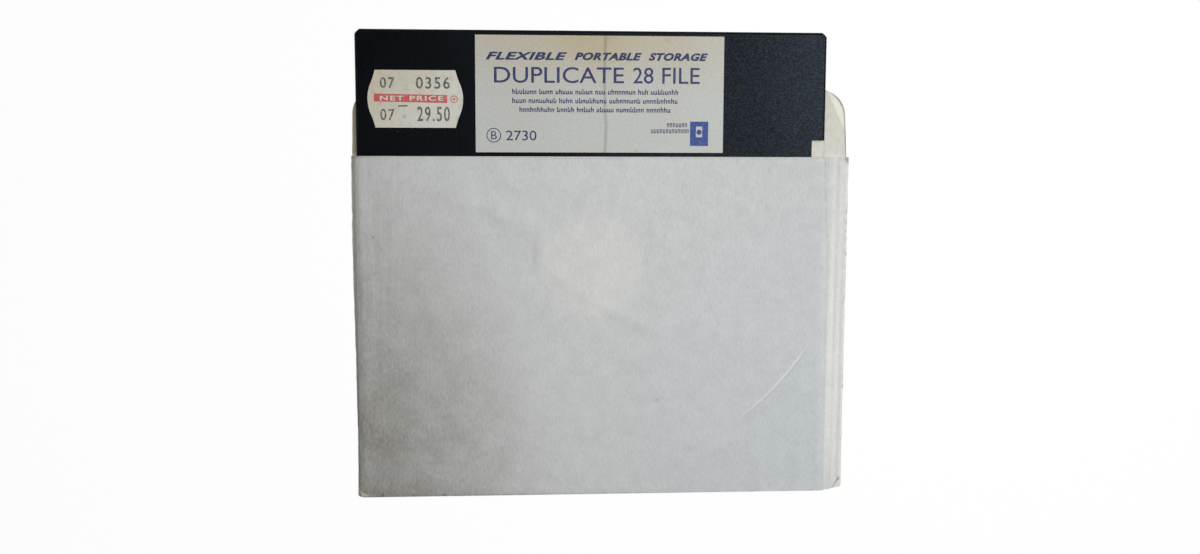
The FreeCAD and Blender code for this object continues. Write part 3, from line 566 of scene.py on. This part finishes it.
# Ridges where the paper was creased: middle, turn in degrees, half length, reach and height.
RIDGES = ((-14.6, 5.7, 90, 9, 2.8, 0.6), (-31.0, 16.6, -19, 19, 4.5, 0.55), (-5.5, -5.0, -43, 11, 3.0, 0.4),
          (11.7, -15.7, -21, 12, 3.0, 0.45), (17.0, 6.5, 80, 9, 3.5, 0.36), (37.9, 18.0, 88, 10, 2.5, 0.2),
          (-50.0, -50.0, -26, 13, 4.5, 0.4), (-38.0, -24.0, 8, 15, 4.0, 0.32), (52.0, -8.0, -35, 13, 3.5, 0.2),
          (-56.0, 14.0, 72, 12, 3.0, 0.26), (-48.0, -8.0, -62, 14, 4.0, 0.28), (-30.0, -44.0, 38, 13, 3.5, 0.24),
          (30.0, -42.0, 14, 14, 4.0, 0.22), (-10.0, -34.0, -70, 11, 3.0, 0.18), (58.0, -46.0, 70, 12, 3.0, 0.16))


def ease(value):
    """Runs from 0 to 1 with flat ends."""
    value = min(max(value, 0.0), 1.0)
    return value * value * (3 - 2 * value)


def ridge_height(x, y):
    """Adds up the ridges of the creases at a point of the sheet, in mm."""
    height = 0.0
    for across, up, turn, half, reach, rise in RIDGES:
        turn = math.radians(turn)
        along = (x - across) * math.cos(turn) + (y - up) * math.sin(turn)
        aside = (y - up) * math.cos(turn) - (x - across) * math.sin(turn)
        aside += 0.35 * reach * noise.noise(Vector((along / 5, across, up)))
        if abs(along) < half and abs(aside) < reach:
            height += rise * (1 - abs(aside) / reach) ** 1.5 * ease(1.6 * (1 - abs(along) / half))
    return height


bm = bmesh.new()
bm.from_mesh(nodes["sleeve"].data)
bmesh.ops.remove_doubles(bm, verts=bm.verts, dist=0.001 * MM)
bmesh.ops.dissolve_limit(bm, angle_limit=math.radians(0.5), verts=bm.verts, edges=bm.edges)
sleeve_low, sleeve_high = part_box("sleeve")
cuts = {0: [BEND_LEFT + 2.1, BEND_LEFT - 0.5, BEND_RIGHT - 0.6, BEND_RIGHT + 0.7],
        1: [BEND_LOW + 0.5, BEND_LOW + 1.0]}
for axis in (0, 1):
    at = sleeve_low[axis] / MM + (SHEET_PITCH if axis else 4 * SHEET_PITCH)
    while at < sleeve_high[axis] / MM - 0.3:
        cuts[axis].append(at)
        at += SHEET_PITCH
    for at in cuts[axis]:
        point, normal = Vector(), Vector()
        point[axis] = at * MM
        normal[axis] = 1.0
        whole = bm.verts[:] + bm.edges[:] + bm.faces[:]
        bmesh.ops.bisect_plane(bm, geom=whole, dist=0.0005 * MM, plane_co=point, plane_no=normal)
for vert in bm.verts:
    x, y, z = vert.co / MM
    inner = ease((x - BEND_LEFT) / RAMP) * ease((BEND_RIGHT - x) / RAMP) * ease((y - BEND_LOW) / RAMP)
    down = (x - BEND_RIGHT) / (FOLD_RIGHT - BEND_RIGHT)
    slope_top = FRONT_OUT + (FOLD_HEIGHT - FRONT_OUT) * down
    if z > FRONT_IN - 0.03 and x <= BEND_RIGHT:
        wave = noise.noise(Vector((x / 38, y / 52, 1.3))) + 0.45 * noise.noise(Vector((x / 14, y / 22, 4.1)))
        bow = 0.3 * ease((y - MOUTH + 40) / 40)
        vert.co.z += inner * (max(WAVE_HEIGHT * wave + bow + 0.1, -0.03) + ridge_height(x, y)) * MM
        vert.co.x += BEND_OUT * ease((MOUTH - y) / BEND_OUT_REACH) * ease((x - BEND_RIGHT + 4) / 4) * MM
    elif 0 < down < 1 and y < MOUTH + 0.1 and slope_top - 0.3 < z:
        vert.co.z += RIGHT_BULGE * math.sin(math.pi * down) * ease((y - BEND_LOW) / 4) * MM
        vert.co.x += BEND_OUT * ease((MOUTH - y) / BEND_OUT_REACH) * (1 - down) * MM
    # The folds were creased by hand, so they wander, and the lower corners are bent up.
    at_right, at_left = ease((x - FOLD_RIGHT + 2.5) / 2.5), ease((FOLD_LEFT + 0.8 - x) / 0.8)
    wander = noise.noise(Vector((y / 7, 3.3, at_left))) + 0.5 * noise.noise(Vector((y / 2.6, 8.1, at_left)))
    bulge = LEFT_BULGE * math.cos(math.pi * (y - 12) / 60)
    vert.co.x += (EDGE_WANDER * (at_left - at_right) * abs(wander) - bulge * at_left) * MM
    vert.co.y += EDGE_WANDER * 0.5 * ease((FOLD_LOW + 0.2 - y) / 0.2) * abs(noise.noise(Vector((x / 6, 5.2, 0)))) * MM
    beyond = 4.5 - (FOLD_RIGHT - x) - (y - FOLD_LOW)
    vert.co.z += CORNER_LIFT * ease(beyond / 4.5) * MM
    beyond = 3.2 - (x - FOLD_LEFT) - (y - FOLD_LOW)
    vert.co.z += 0.5 * CORNER_LIFT * ease(beyond / 3.2) * MM

sleeve_paper, tree = start_material("Wood-free paper, machine-made, folded")
PAPER_WHITE = "#eaebeb"
PAPER_PAINTED_COOL_SHADE = "#e2e6e9"
PAPER_AGED = "#d7d5ce"
PAPER_TAB_PAINTED_LIGHT = "#efede5"
PAPER_SHADED_BROWN = "#817351"
PAPER_THROUGH = "#f0ece0"
PAPER_WORN = "#e4dfcf"
SCUFF_BROWN = "#8e8068"
DIRT_AND_EDGE_SHADE = "#6f685c"
TAB_INNER, TAB_CORNER, TAB_LEAN = (67.59, 43.03), 7.8, 0.0593
TAB_FOLD = (71.5, 41.8, 24.7)
GRIME_AND_SHADE = "#a9a398"
GRIME_SHADE_CORNER, GRIME_SHADE_SQUASH, GRIME_SHADE_REACH = (-73.7, -88.6), 0.49, (65.0, 23.4)
UPPER_RIGHT_PAINTED_SHADE = "#f4f4f4"
PAINTED_SHADE_CORNER, PAINTED_SHADE_REACH = (80.0, 45.0), 75.0
CREASE_CENTRE, CREASE_RADIUS, CREASE_WIDTH = (-2.5, 17.4, 0.0), 76.8, 0.42
CREASE_SPAN = (41.0, 50.0, 60.0, 64.0)
# Painted shade and highlight on the two corner creases: middle, turn in degrees, half length, reach and shade.
PAINTED_CREASE_SHADES = ((-66.4, -65.2, -33, 2.3, 0.8, 0.5), (72.7, -64.8, 55, 2.3, 0.9, 0.42))
CORNER_CREASES = ((1, FOLD_LEFT, 5.6, 0.8), (-1, FOLD_RIGHT, 6.4, 0.3))
SMUDGES = ((73.8, 30.7, 1.2), (73.4, -63.9, 0.6), (18.6, -39.0, 0.3), (17.8, -39.4, 0.25), (19.4, -38.5, 0.2),
           (-62.3, 8.5, 0.34), (-61.0, -66.4, 0.7), (-52.0, -66.6, 0.5), (-43.0, -66.5, 0.6))
place = add_node(tree, "TexCoord").outputs["Object"]
axes = add_node(tree, "SeparateXYZ", {0: place})
flat = add_node(tree, "CombineXYZ", {"X": axes.outputs["X"], "Y": axes.outputs["Y"]})
drawn_out = add_node(tree, "Mapping", {"Vector": place, "Scale": (1, 0.4, 1)})
fibres = add_node(tree, "TexNoise", {"Vector": drawn_out.outputs[0], "Scale": 1 / (0.55 * MM), "Detail": 4.0})
cloud = add_node(tree, "TexNoise", {"Vector": place, "Scale": 1 / (4 * MM), "Detail": 4.0})
dimples = add_node(tree, "TexNoise", {"Vector": place, "Scale": 1 / (9 * MM), "Detail": 2.0})
patches = add_node(tree, "TexNoise", {"Vector": place, "Scale": 1 / (1.3 * MM), "Detail": 5.0})
streak = add_node(tree, "MapRange", {"Value": fibres.outputs["Fac"], "From Min": 0.3, "From Max": 0.7,
                                     "To Min": 0.88, "To Max": 1.01})
fog = add_node(tree, "MapRange", {"Value": cloud.outputs["Fac"], "From Min": 0.3, "From Max": 0.7,
                                  "To Min": 0.94, "To Max": 1.015})
look = add_node(tree, "Math", {0: streak.outputs[0], 1: fog.outputs[0]}, operation="MULTIPLY")
front_side = add_node(tree, "Math", {0: axes.outputs["Z"], 1: -1.1 * MM}, operation="GREATER_THAN")
# Each corner crease is painted darker on one side as shade, and paler on the other as highlight.
for across, up, turn, half, reach, shade in PAINTED_CREASE_SHADES:
    local = add_node(tree, "Mapping", {"Vector": flat.outputs[0], "Location": (across * MM, up * MM, 0),
                                       "Rotation": (0, 0, math.radians(turn))}, vector_type="TEXTURE")
    local = add_node(tree, "SeparateXYZ", {0: local.outputs[0]})
    wavy = add_node(tree, "Math", {0: cloud.outputs["Fac"], 1: 0.35 * reach * MM, 2: local.outputs["Y"]},
                    operation="MULTIPLY_ADD")
    run = add_node(tree, "Math", {0: local.outputs["X"]}, operation="ABSOLUTE")
    run = add_node(tree, "MapRange", {"Value": run.outputs[0], "From Min": half * MM,
                                      "From Max": 0.3 * half * MM, "To Max": shade})
    for side, share in ((1, 1.0), (-1, -0.6)):
        slope = add_node(tree, "MapRange", {"Value": wavy.outputs[0], "From Min": side * reach * MM,
                                            "From Max": 0.0, "To Max": share})
        sided = add_node(tree, "Math", {0: wavy.outputs[0], 1: side * 1e6}, operation="MULTIPLY", use_clamp=True)
        slope = add_node(tree, "Math", {0: slope.outputs[0], 1: sided.outputs[0]}, operation="MULTIPLY")
        slope = add_node(tree, "Math", {0: slope.outputs[0], 1: run.outputs[0]}, operation="MULTIPLY")
        slope = add_node(tree, "Math", {0: slope.outputs[0], 1: front_side.outputs[0]}, operation="MULTIPLY")
        look = add_node(tree, "Math", {0: look.outputs[0], 1: slope.outputs[0]}, operation="SUBTRACT")
# The bottom fold is grey on its left half, and darkest along its very edge.
low_grey = add_node(tree, "MapRange", {"Value": axes.outputs["Y"], "From Min": (FOLD_LOW + 2.5) * MM,
                                       "From Max": FOLD_LOW * MM, "To Max": 0.09})
low_dark = add_node(tree, "MapRange", {"Value": axes.outputs["Y"], "From Min": (FOLD_LOW + 0.7) * MM,
                                       "From Max": (FOLD_LOW + 0.2) * MM, "To Max": 0.36})
low_grey = add_node(tree, "Math", {0: low_grey.outputs[0], 1: low_dark.outputs[0]}, operation="ADD")
leftness = add_node(tree, "MapRange", {"Value": axes.outputs["X"], "From Min": 50 * MM, "From Max": -20 * MM})
low_grey = add_node(tree, "Math", {0: low_grey.outputs[0], 1: leftness.outputs[0]}, operation="MULTIPLY")
look = add_node(tree, "Math", {0: look.outputs[0], 1: low_grey.outputs[0]}, operation="SUBTRACT")
# The strip beyond the jacket's edge is streaked lighter and darker along its length.
strip_streaks = add_node(tree, "Mapping", {"Vector": place, "Scale": (1, 0.012, 1)})
strip_streaks = add_node(tree, "TexNoise", {"Vector": strip_streaks.outputs[0], "Scale": 1 / (1.3 * MM), "Detail": 4.0})
strip_streaks = add_node(tree, "MapRange", {"Value": strip_streaks.outputs["Fac"], "From Min": 0.66, "From Max": 0.36,
                                   "To Min": -0.1, "To Max": 0.05})
moved = add_node(tree, "MapRange", {"Value": axes.outputs["Y"], "From Min": MOUTH * MM,
                                    "From Max": (MOUTH - BEND_OUT_REACH) * MM, "To Max": BEND_OUT * MM},
                 interpolation_type="SMOOTHSTEP")
moved = add_node(tree, "Math", {0: axes.outputs["X"], 1: moved.outputs[0]}, operation="SUBTRACT")
strip = add_node(tree, "MapRange", {"Value": moved.outputs[0], "From Min": (BEND_RIGHT - 0.2) * MM,
                                    "From Max": (BEND_RIGHT + 0.1) * MM})
below = add_node(tree, "Math", {0: axes.outputs["Y"], 1: MOUTH * MM}, operation="LESS_THAN")
strip = add_node(tree, "Math", {0: strip.outputs[0], 1: below.outputs[0]}, operation="MULTIPLY")
strip_streaks = add_node(tree, "Math", {0: strip_streaks.outputs[0], 1: strip.outputs[0]}, operation="MULTIPLY")
look = add_node(tree, "Math", {0: look.outputs[0], 1: strip_streaks.outputs[0]}, operation="SUBTRACT")
# Handling has pressed faint upright lines into the front beside the left bend.
lines = add_node(tree, "Mapping", {"Vector": place, "Scale": (1, 0.02, 1)})
lines = add_node(tree, "TexNoise", {"Vector": lines.outputs[0], "Scale": 1 / (0.9 * MM), "Detail": 3.0})
lines = add_node(tree, "MapRange", {"Value": lines.outputs["Fac"], "From Min": 0.36, "From Max": 0.64,
                                    "To Min": -0.05, "To Max": 0.06})
near_left = add_node(tree, "MapRange", {"Value": axes.outputs["X"], "From Min": -50 * MM, "From Max": -64 * MM})
lines = add_node(tree, "Math", {0: lines.outputs[0], 1: near_left.outputs[0]}, operation="MULTIPLY")
lines = add_node(tree, "Math", {0: lines.outputs[0], 1: below.outputs[0]}, operation="MULTIPLY")
look = add_node(tree, "Math", {0: look.outputs[0], 1: lines.outputs[0]}, operation="SUBTRACT")
# A grey line of painted shade runs beside the right bend, where the paper leaves the jacket's edge, strongest near
# the mouth.
pressed_dots_and_fold_shade = add_node(tree, "Math", {0: moved.outputs[0], 1: (BEND_RIGHT - 0.5) * MM}, operation="SUBTRACT")
pressed_dots_and_fold_shade = add_node(tree, "Math", {0: pressed_dots_and_fold_shade.outputs[0]}, operation="ABSOLUTE")
pressed_dots_and_fold_shade = add_node(tree, "MapRange", {"Value": pressed_dots_and_fold_shade.outputs[0], "From Min": 0.45 * MM, "From Max": 0.0})
high_up = add_node(tree, "MapRange", {"Value": axes.outputs["Y"], "From Min": -40 * MM, "From Max": 20 * MM,
                                      "To Min": 0.03, "To Max": 0.14})
pressed_dots_and_fold_shade = add_node(tree, "Math", {0: pressed_dots_and_fold_shade.outputs[0], 1: high_up.outputs[0]}, operation="MULTIPLY")
look = add_node(tree, "Math", {0: look.outputs[0], 1: pressed_dots_and_fold_shade.outputs[0]}, operation="SUBTRACT")
# Scuffs come in short runs along the three folds.
left_fold = add_node(tree, "MapRange", {"Value": axes.outputs["X"], "From Min": sleeve_low.x + 1.4 * MM,
                                        "From Max": sleeve_low.x + 0.2 * MM})
right_fold = add_node(tree, "MapRange", {"Value": axes.outputs["X"], "From Min": sleeve_high.x - 1.0 * MM,
                                         "From Max": sleeve_high.x - 0.1 * MM})
low_fold = add_node(tree, "MapRange", {"Value": axes.outputs["Y"], "From Min": sleeve_low.y + 0.8 * MM,
                                       "From Max": sleeve_low.y})
folds = add_node(tree, "Math", {0: left_fold.outputs[0], 1: right_fold.outputs[0]}, operation="MAXIMUM")
folds = add_node(tree, "Math", {0: folds.outputs[0], 1: low_fold.outputs[0]}, operation="MAXIMUM")
runs = add_node(tree, "MapRange", {"Value": dimples.outputs["Fac"], "From Min": 0.48, "From Max": 0.6})
grubby = add_node(tree, "MapRange", {"Value": patches.outputs["Fac"], "From Min": 0.45, "From Max": 0.6,
                                     "To Max": 0.7})
scuffed = add_node(tree, "Math", {0: folds.outputs[0], 1: grubby.outputs[0]}, operation="MULTIPLY")
scuffed = add_node(tree, "Math", {0: scuffed.outputs[0], 1: runs.outputs[0]}, operation="MULTIPLY")
# Towards the lower right the paper is painted cooler and greyer: a painted tint of cool light, with painted shade
# against the lamp's brightness there.
painted_cool_shade = add_node(tree, "VectorMath", {0: flat.outputs[0], 1: (75 * MM, -50 * MM, 0)}, operation="DISTANCE")
painted_cool_shade = add_node(tree, "MapRange", {"Value": painted_cool_shade.outputs["Value"], "From Min": 85 * MM, "From Max": 10 * MM})
plain = add_node(tree, "Math", {0: 1.0, 1: strip.outputs[0]}, operation="SUBTRACT")
painted_cool_shade = add_node(tree, "Math", {0: painted_cool_shade.outputs[0], 1: plain.outputs[0]}, operation="MULTIPLY")
white = add_node(tree, "Mix", {"Factor": painted_cool_shade.outputs[0], MIX_A: linear_colour(PAPER_WHITE),
                               MIX_B: linear_colour(PAPER_PAINTED_COOL_SHADE)}, data_type="RGBA")
white = add_node(tree, "Mix", {"Factor": scuffed.outputs[0], MIX_A: white.outputs[MIX_RESULT],
                               MIX_B: linear_colour(SCUFF_BROWN)}, data_type="RGBA")
# Above the mouth the back panel has stood in the light, and has yellowed evenly.
bare = add_node(tree, "MapRange", {"Value": axes.outputs["Y"], "From Min": (MOUTH - 1.0) * MM,
                                   "From Max": (MOUTH + 1.0) * MM})
# Towards the left edge it is painted brown: painted shade under the jacket, with yellowing.
shaded_brown_left = add_node(tree, "MapRange", {"Value": axes.outputs["X"], "From Min": -61 * MM, "From Max": -67 * MM})
aged = add_node(tree, "Mix", {"Factor": shaded_brown_left.outputs[0], MIX_A: linear_colour(PAPER_AGED),
                              MIX_B: linear_colour(PAPER_SHADED_BROWN)}, data_type="RGBA")
white = add_node(tree, "Mix", {"Factor": bare.outputs[0], MIX_A: white.outputs[MIX_RESULT],
                               MIX_B: aged.outputs[MIX_RESULT]}, data_type="RGBA")
# Its right corner is painted paler beyond a slanting fold line: painted light, standing in for a fold that turns the
# paper to the lamp. Its cut edge there is painted dark as shade.
painted_light_beyond_fold = add_node(tree, "Mapping", {"Vector": flat.outputs[0], "Location": (TAB_FOLD[0] * MM, TAB_FOLD[1] * MM, 0),
                                    "Rotation": (0, 0, math.radians(TAB_FOLD[2]))}, vector_type="TEXTURE")
painted_light_beyond_fold = add_node(tree, "SeparateXYZ", {0: painted_light_beyond_fold.outputs[0]})
painted_light_beyond_fold = add_node(tree, "MapRange", {"Value": painted_light_beyond_fold.outputs["X"], "From Min": -0.3 * MM, "From Max": 0.4 * MM})
painted_light_beyond_fold = add_node(tree, "Math", {0: painted_light_beyond_fold.outputs[0], 1: bare.outputs[0]}, operation="MULTIPLY")
white = add_node(tree, "Mix", {"Factor": painted_light_beyond_fold.outputs[0], MIX_A: white.outputs[MIX_RESULT],
                               MIX_B: linear_colour(PAPER_TAB_PAINTED_LIGHT)}, data_type="RGBA")
# Painted shade darkens the cut edge round the right corner.
leaned = add_node(tree, "Math", {0: axes.outputs["Y"], 1: TAB_LEAN, 2: axes.outputs["X"]},
                  operation="MULTIPLY_ADD")
painted_edge_shade = add_node(tree, "CombineXYZ", {"X": leaned.outputs[0], "Y": axes.outputs["Y"]})
painted_edge_shade = add_node(tree, "VectorMath", {0: painted_edge_shade.outputs[0], 1: (TAB_INNER[0] * MM, TAB_INNER[1] * MM, 0)},
               operation="SUBTRACT")
painted_edge_shade = add_node(tree, "VectorMath", {0: painted_edge_shade.outputs["Vector"], 1: (0, 0, 0)}, operation="MAXIMUM")
painted_edge_shade = add_node(tree, "VectorMath", {0: painted_edge_shade.outputs["Vector"]}, operation="LENGTH")
painted_edge_shade = add_node(tree, "MapRange", {"Value": painted_edge_shade.outputs["Value"], "From Min": (TAB_CORNER - 0.55) * MM,
                                  "From Max": (TAB_CORNER - 0.1) * MM, "To Max": 0.85})
painted_edge_shade = add_node(tree, "Math", {0: painted_edge_shade.outputs[0], 1: bare.outputs[0]}, operation="MULTIPLY")
rounded = add_node(tree, "MapRange", {"Value": leaned.outputs[0], "From Min": (TAB_INNER[0] + 3) * MM,
                                      "From Max": (TAB_INNER[0] + 6) * MM, "To Min": 0.15})
painted_edge_shade = add_node(tree, "Math", {0: painted_edge_shade.outputs[0], 1: rounded.outputs[0]}, operation="MULTIPLY")
white = add_node(tree, "Mix", {"Factor": painted_edge_shade.outputs[0], MIX_A: white.outputs[MIX_RESULT],
                               MIX_B: linear_colour(DIRT_AND_EDGE_SHADE)}, data_type="RGBA")
# A grey bloom over the left side, darkest at its lower corner, is grime left by hands together with painted shade
# where the light falls off.
squashed = add_node(tree, "VectorMath", {0: flat.outputs[0], 1: (1, GRIME_SHADE_SQUASH, 0)}, operation="MULTIPLY")
corner = (GRIME_SHADE_CORNER[0] * MM, GRIME_SHADE_CORNER[1] * GRIME_SHADE_SQUASH * MM, 0)
corner = add_node(tree, "VectorMath", {0: squashed.outputs[0], 1: corner}, operation="DISTANCE")
grime_and_shade = add_node(tree, "MapRange", {"Value": corner.outputs["Value"], "From Min": GRIME_SHADE_REACH[0] * MM,
                                    "From Max": GRIME_SHADE_REACH[1] * MM, "To Max": 0.64})
# It clings to the fibres and to the shallow dents.
for pattern, spread in ((fibres, 0.15), (dimples, 0.18)):
    clings = add_node(tree, "MapRange", {"Value": pattern.outputs["Fac"], "From Min": 0.32, "From Max": 0.68,
                                         "To Min": 1 + spread, "To Max": 1 - spread})
    grime_and_shade = add_node(tree, "Math", {0: grime_and_shade.outputs[0], 1: clings.outputs[0]}, operation="MULTIPLY")
white = add_node(tree, "Mix", {"Factor": grime_and_shade.outputs[0], MIX_A: white.outputs[MIX_RESULT],
                               MIX_B: linear_colour(GRIME_AND_SHADE)}, data_type="RGBA", blend_type="MULTIPLY")
# The upper right corner of the front is painted a little greyer: painted shade that tempers the lamp's brightness
# there.
corner = (PAINTED_SHADE_CORNER[0] * MM, PAINTED_SHADE_CORNER[1] * MM, 0)
painted_shade_upper_right = add_node(tree, "VectorMath", {0: flat.outputs[0], 1: corner}, operation="DISTANCE")
painted_shade_upper_right = add_node(tree, "MapRange", {"Value": painted_shade_upper_right.outputs["Value"], "From Min": PAINTED_SHADE_REACH * MM,
                                   "From Max": 0.0})
painted_shade_upper_right = add_node(tree, "Math", {0: painted_shade_upper_right.outputs[0], 1: below.outputs[0]}, operation="MULTIPLY")
white = add_node(tree, "Mix", {"Factor": painted_shade_upper_right.outputs[0], MIX_A: white.outputs[MIX_RESULT],
                               MIX_B: linear_colour(UPPER_RIGHT_PAINTED_SHADE)}, data_type="RGBA", blend_type="MULTIPLY")
# Both lower corners are bent, with a worn pale tip inside the crease.
for side, edge, reach, share in CORNER_CREASES:
    inwards = add_node(tree, "Math", {0: axes.outputs["X"], 1: side, 2: -side * edge * MM},
                       operation="MULTIPLY_ADD")
    inwards = add_node(tree, "Math", {0: inwards.outputs[0], 1: axes.outputs["Y"]}, operation="ADD")
    inwards = add_node(tree, "Math", {0: inwards.outputs[0], 1: -FOLD_LOW * MM}, operation="ADD")
    jagged = add_node(tree, "Math", {0: patches.outputs["Fac"], 1: 5 * MM, 2: inwards.outputs[0]},
                      operation="MULTIPLY_ADD")
    tip = add_node(tree, "MapRange", {"Value": jagged.outputs[0], "From Min": (reach + 1.6) * MM,
                                      "From Max": reach * MM, "To Max": share})
    white = add_node(tree, "Mix", {"Factor": tip.outputs[0], MIX_A: white.outputs[MIX_RESULT],
                                   MIX_B: linear_colour(PAPER_WORN)}, data_type="RGBA")
# Small dark marks: a scratch, a few spots and dirt at the mouth's right end.
for across, up, radius in SMUDGES:
    away = add_node(tree, "VectorMath", {0: flat.outputs[0], 1: (across * MM, up * MM, 0)}, operation="DISTANCE")
    ragged = add_node(tree, "Math", {0: patches.outputs["Fac"], 1: radius * MM, 2: away.outputs["Value"]},
                      operation="MULTIPLY_ADD")
    mark = add_node(tree, "MapRange", {"Value": ragged.outputs[0], "From Min": 1.5 * radius * MM,
                                       "From Max": 0.9 * radius * MM, "To Max": 0.55})
    white = add_node(tree, "Mix", {"Factor": mark.outputs[0], MIX_A: white.outputs[MIX_RESULT],
                                   MIX_B: linear_colour(DIRT_AND_EDGE_SHADE)}, data_type="RGBA")
# One long curved crease runs down the lower right of the front, pale, with a shadow on its right.
centre = add_node(tree, "VectorMath", {0: flat.outputs[0], 1: [side * MM for side in CREASE_CENTRE]},
                  operation="DISTANCE")
beside = add_node(tree, "Math", {0: centre.outputs["Value"], 1: CREASE_RADIUS * MM}, operation="SUBTRACT")
line = add_node(tree, "Math", {0: beside.outputs[0]}, operation="ABSOLUTE")
line = add_node(tree, "MapRange", {"Value": line.outputs[0], "From Min": CREASE_WIDTH * MM, "From Max": 0.0})
begins = add_node(tree, "MapRange", {"Value": axes.outputs["X"], "From Min": CREASE_SPAN[0] * MM,
                                     "From Max": CREASE_SPAN[1] * MM})
ends = add_node(tree, "MapRange", {"Value": axes.outputs["X"], "From Min": CREASE_SPAN[3] * MM,
                                   "From Max": CREASE_SPAN[2] * MM})
facing = add_node(tree, "Math", {0: axes.outputs["Z"], 1: 0.0}, operation="GREATER_THAN")
span = add_node(tree, "Math", {0: begins.outputs[0], 1: ends.outputs[0]}, operation="MULTIPLY")
span = add_node(tree, "Math", {0: span.outputs[0], 1: facing.outputs[0]}, operation="MULTIPLY")
crease = add_node(tree, "Math", {0: line.outputs[0], 1: span.outputs[0]}, operation="MULTIPLY")
white = add_node(tree, "Mix", {"Factor": crease.outputs[0], MIX_A: white.outputs[MIX_RESULT],
                               MIX_B: linear_colour("#ffffff")}, data_type="RGBA")
step = add_node(tree, "MapRange", {"Value": beside.outputs[0], "From Min": 0.25 * MM, "From Max": 1.2 * MM},
                interpolation_type="SMOOTHSTEP")
step = add_node(tree, "Math", {0: step.outputs[0], 1: span.outputs[0]}, operation="MULTIPLY")
reflected = add_node(tree, "VectorMath", {0: white.outputs[MIX_RESULT], "Scale": look.outputs[0]},
                     operation="SCALE")
bumps = ((step, 0.9, 0.3), (dimples, 0.5, 0.6), (patches, 0.5, 0.16), (fibres, 0.6, 0.16))
normal = {}
for source, strength, distance in bumps:
    bump = add_node(tree, "Bump", {"Height": source.outputs[0], "Strength": strength, "Distance": distance * MM,
                                   **normal})
    normal = {"Normal": bump.outputs[0]}
front = add_node(tree, "BsdfPrincipled", {"Base Color": reflected.outputs[0], "Roughness": 0.85,
                                          "Specular IOR Level": 0.2, **normal})
back = add_node(tree, "BsdfTranslucent", {"Color": linear_colour(PAPER_THROUGH), **normal})
both = add_node(tree, "MixShader", {0: 0.42, 1: front.outputs[0], 2: back.outputs[0]})
add_node(tree, "OutputMaterial", {"Surface": both.outputs[0]})
sleeve = finish_piece("paper_sleeve", bm, sleeve_paper, "sleeve_body")
sleeve.data.shade_smooth()
sleeve.data.set_sharp_from_angle(angle=math.radians(11))
# The left bend and the creases are soft ones, so their shading rounds over.
sharp = sleeve.data.attributes["sharp_edge"].data
for edge in sleeve.data.edges:
    ends = [sleeve.data.vertices[index].co / MM for index in edge.vertices]
    bend = all(abs(end.x - BEND_LEFT) < 0.02 and end.z > 0.5 for end in ends)
    front = all(BEND_LEFT < end.x < BEND_RIGHT - 1 and end.y > BEND_LOW + 1.2 and end.z > 0.9 for end in ends)
    if bend or (front and any(end.y < MOUTH - 0.1 for end in ends)):
        sharp[edge.index].value = False
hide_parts("sleeve")

# The sizes of the dressed model, as the CAD box's were taken before dressing.
low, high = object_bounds()
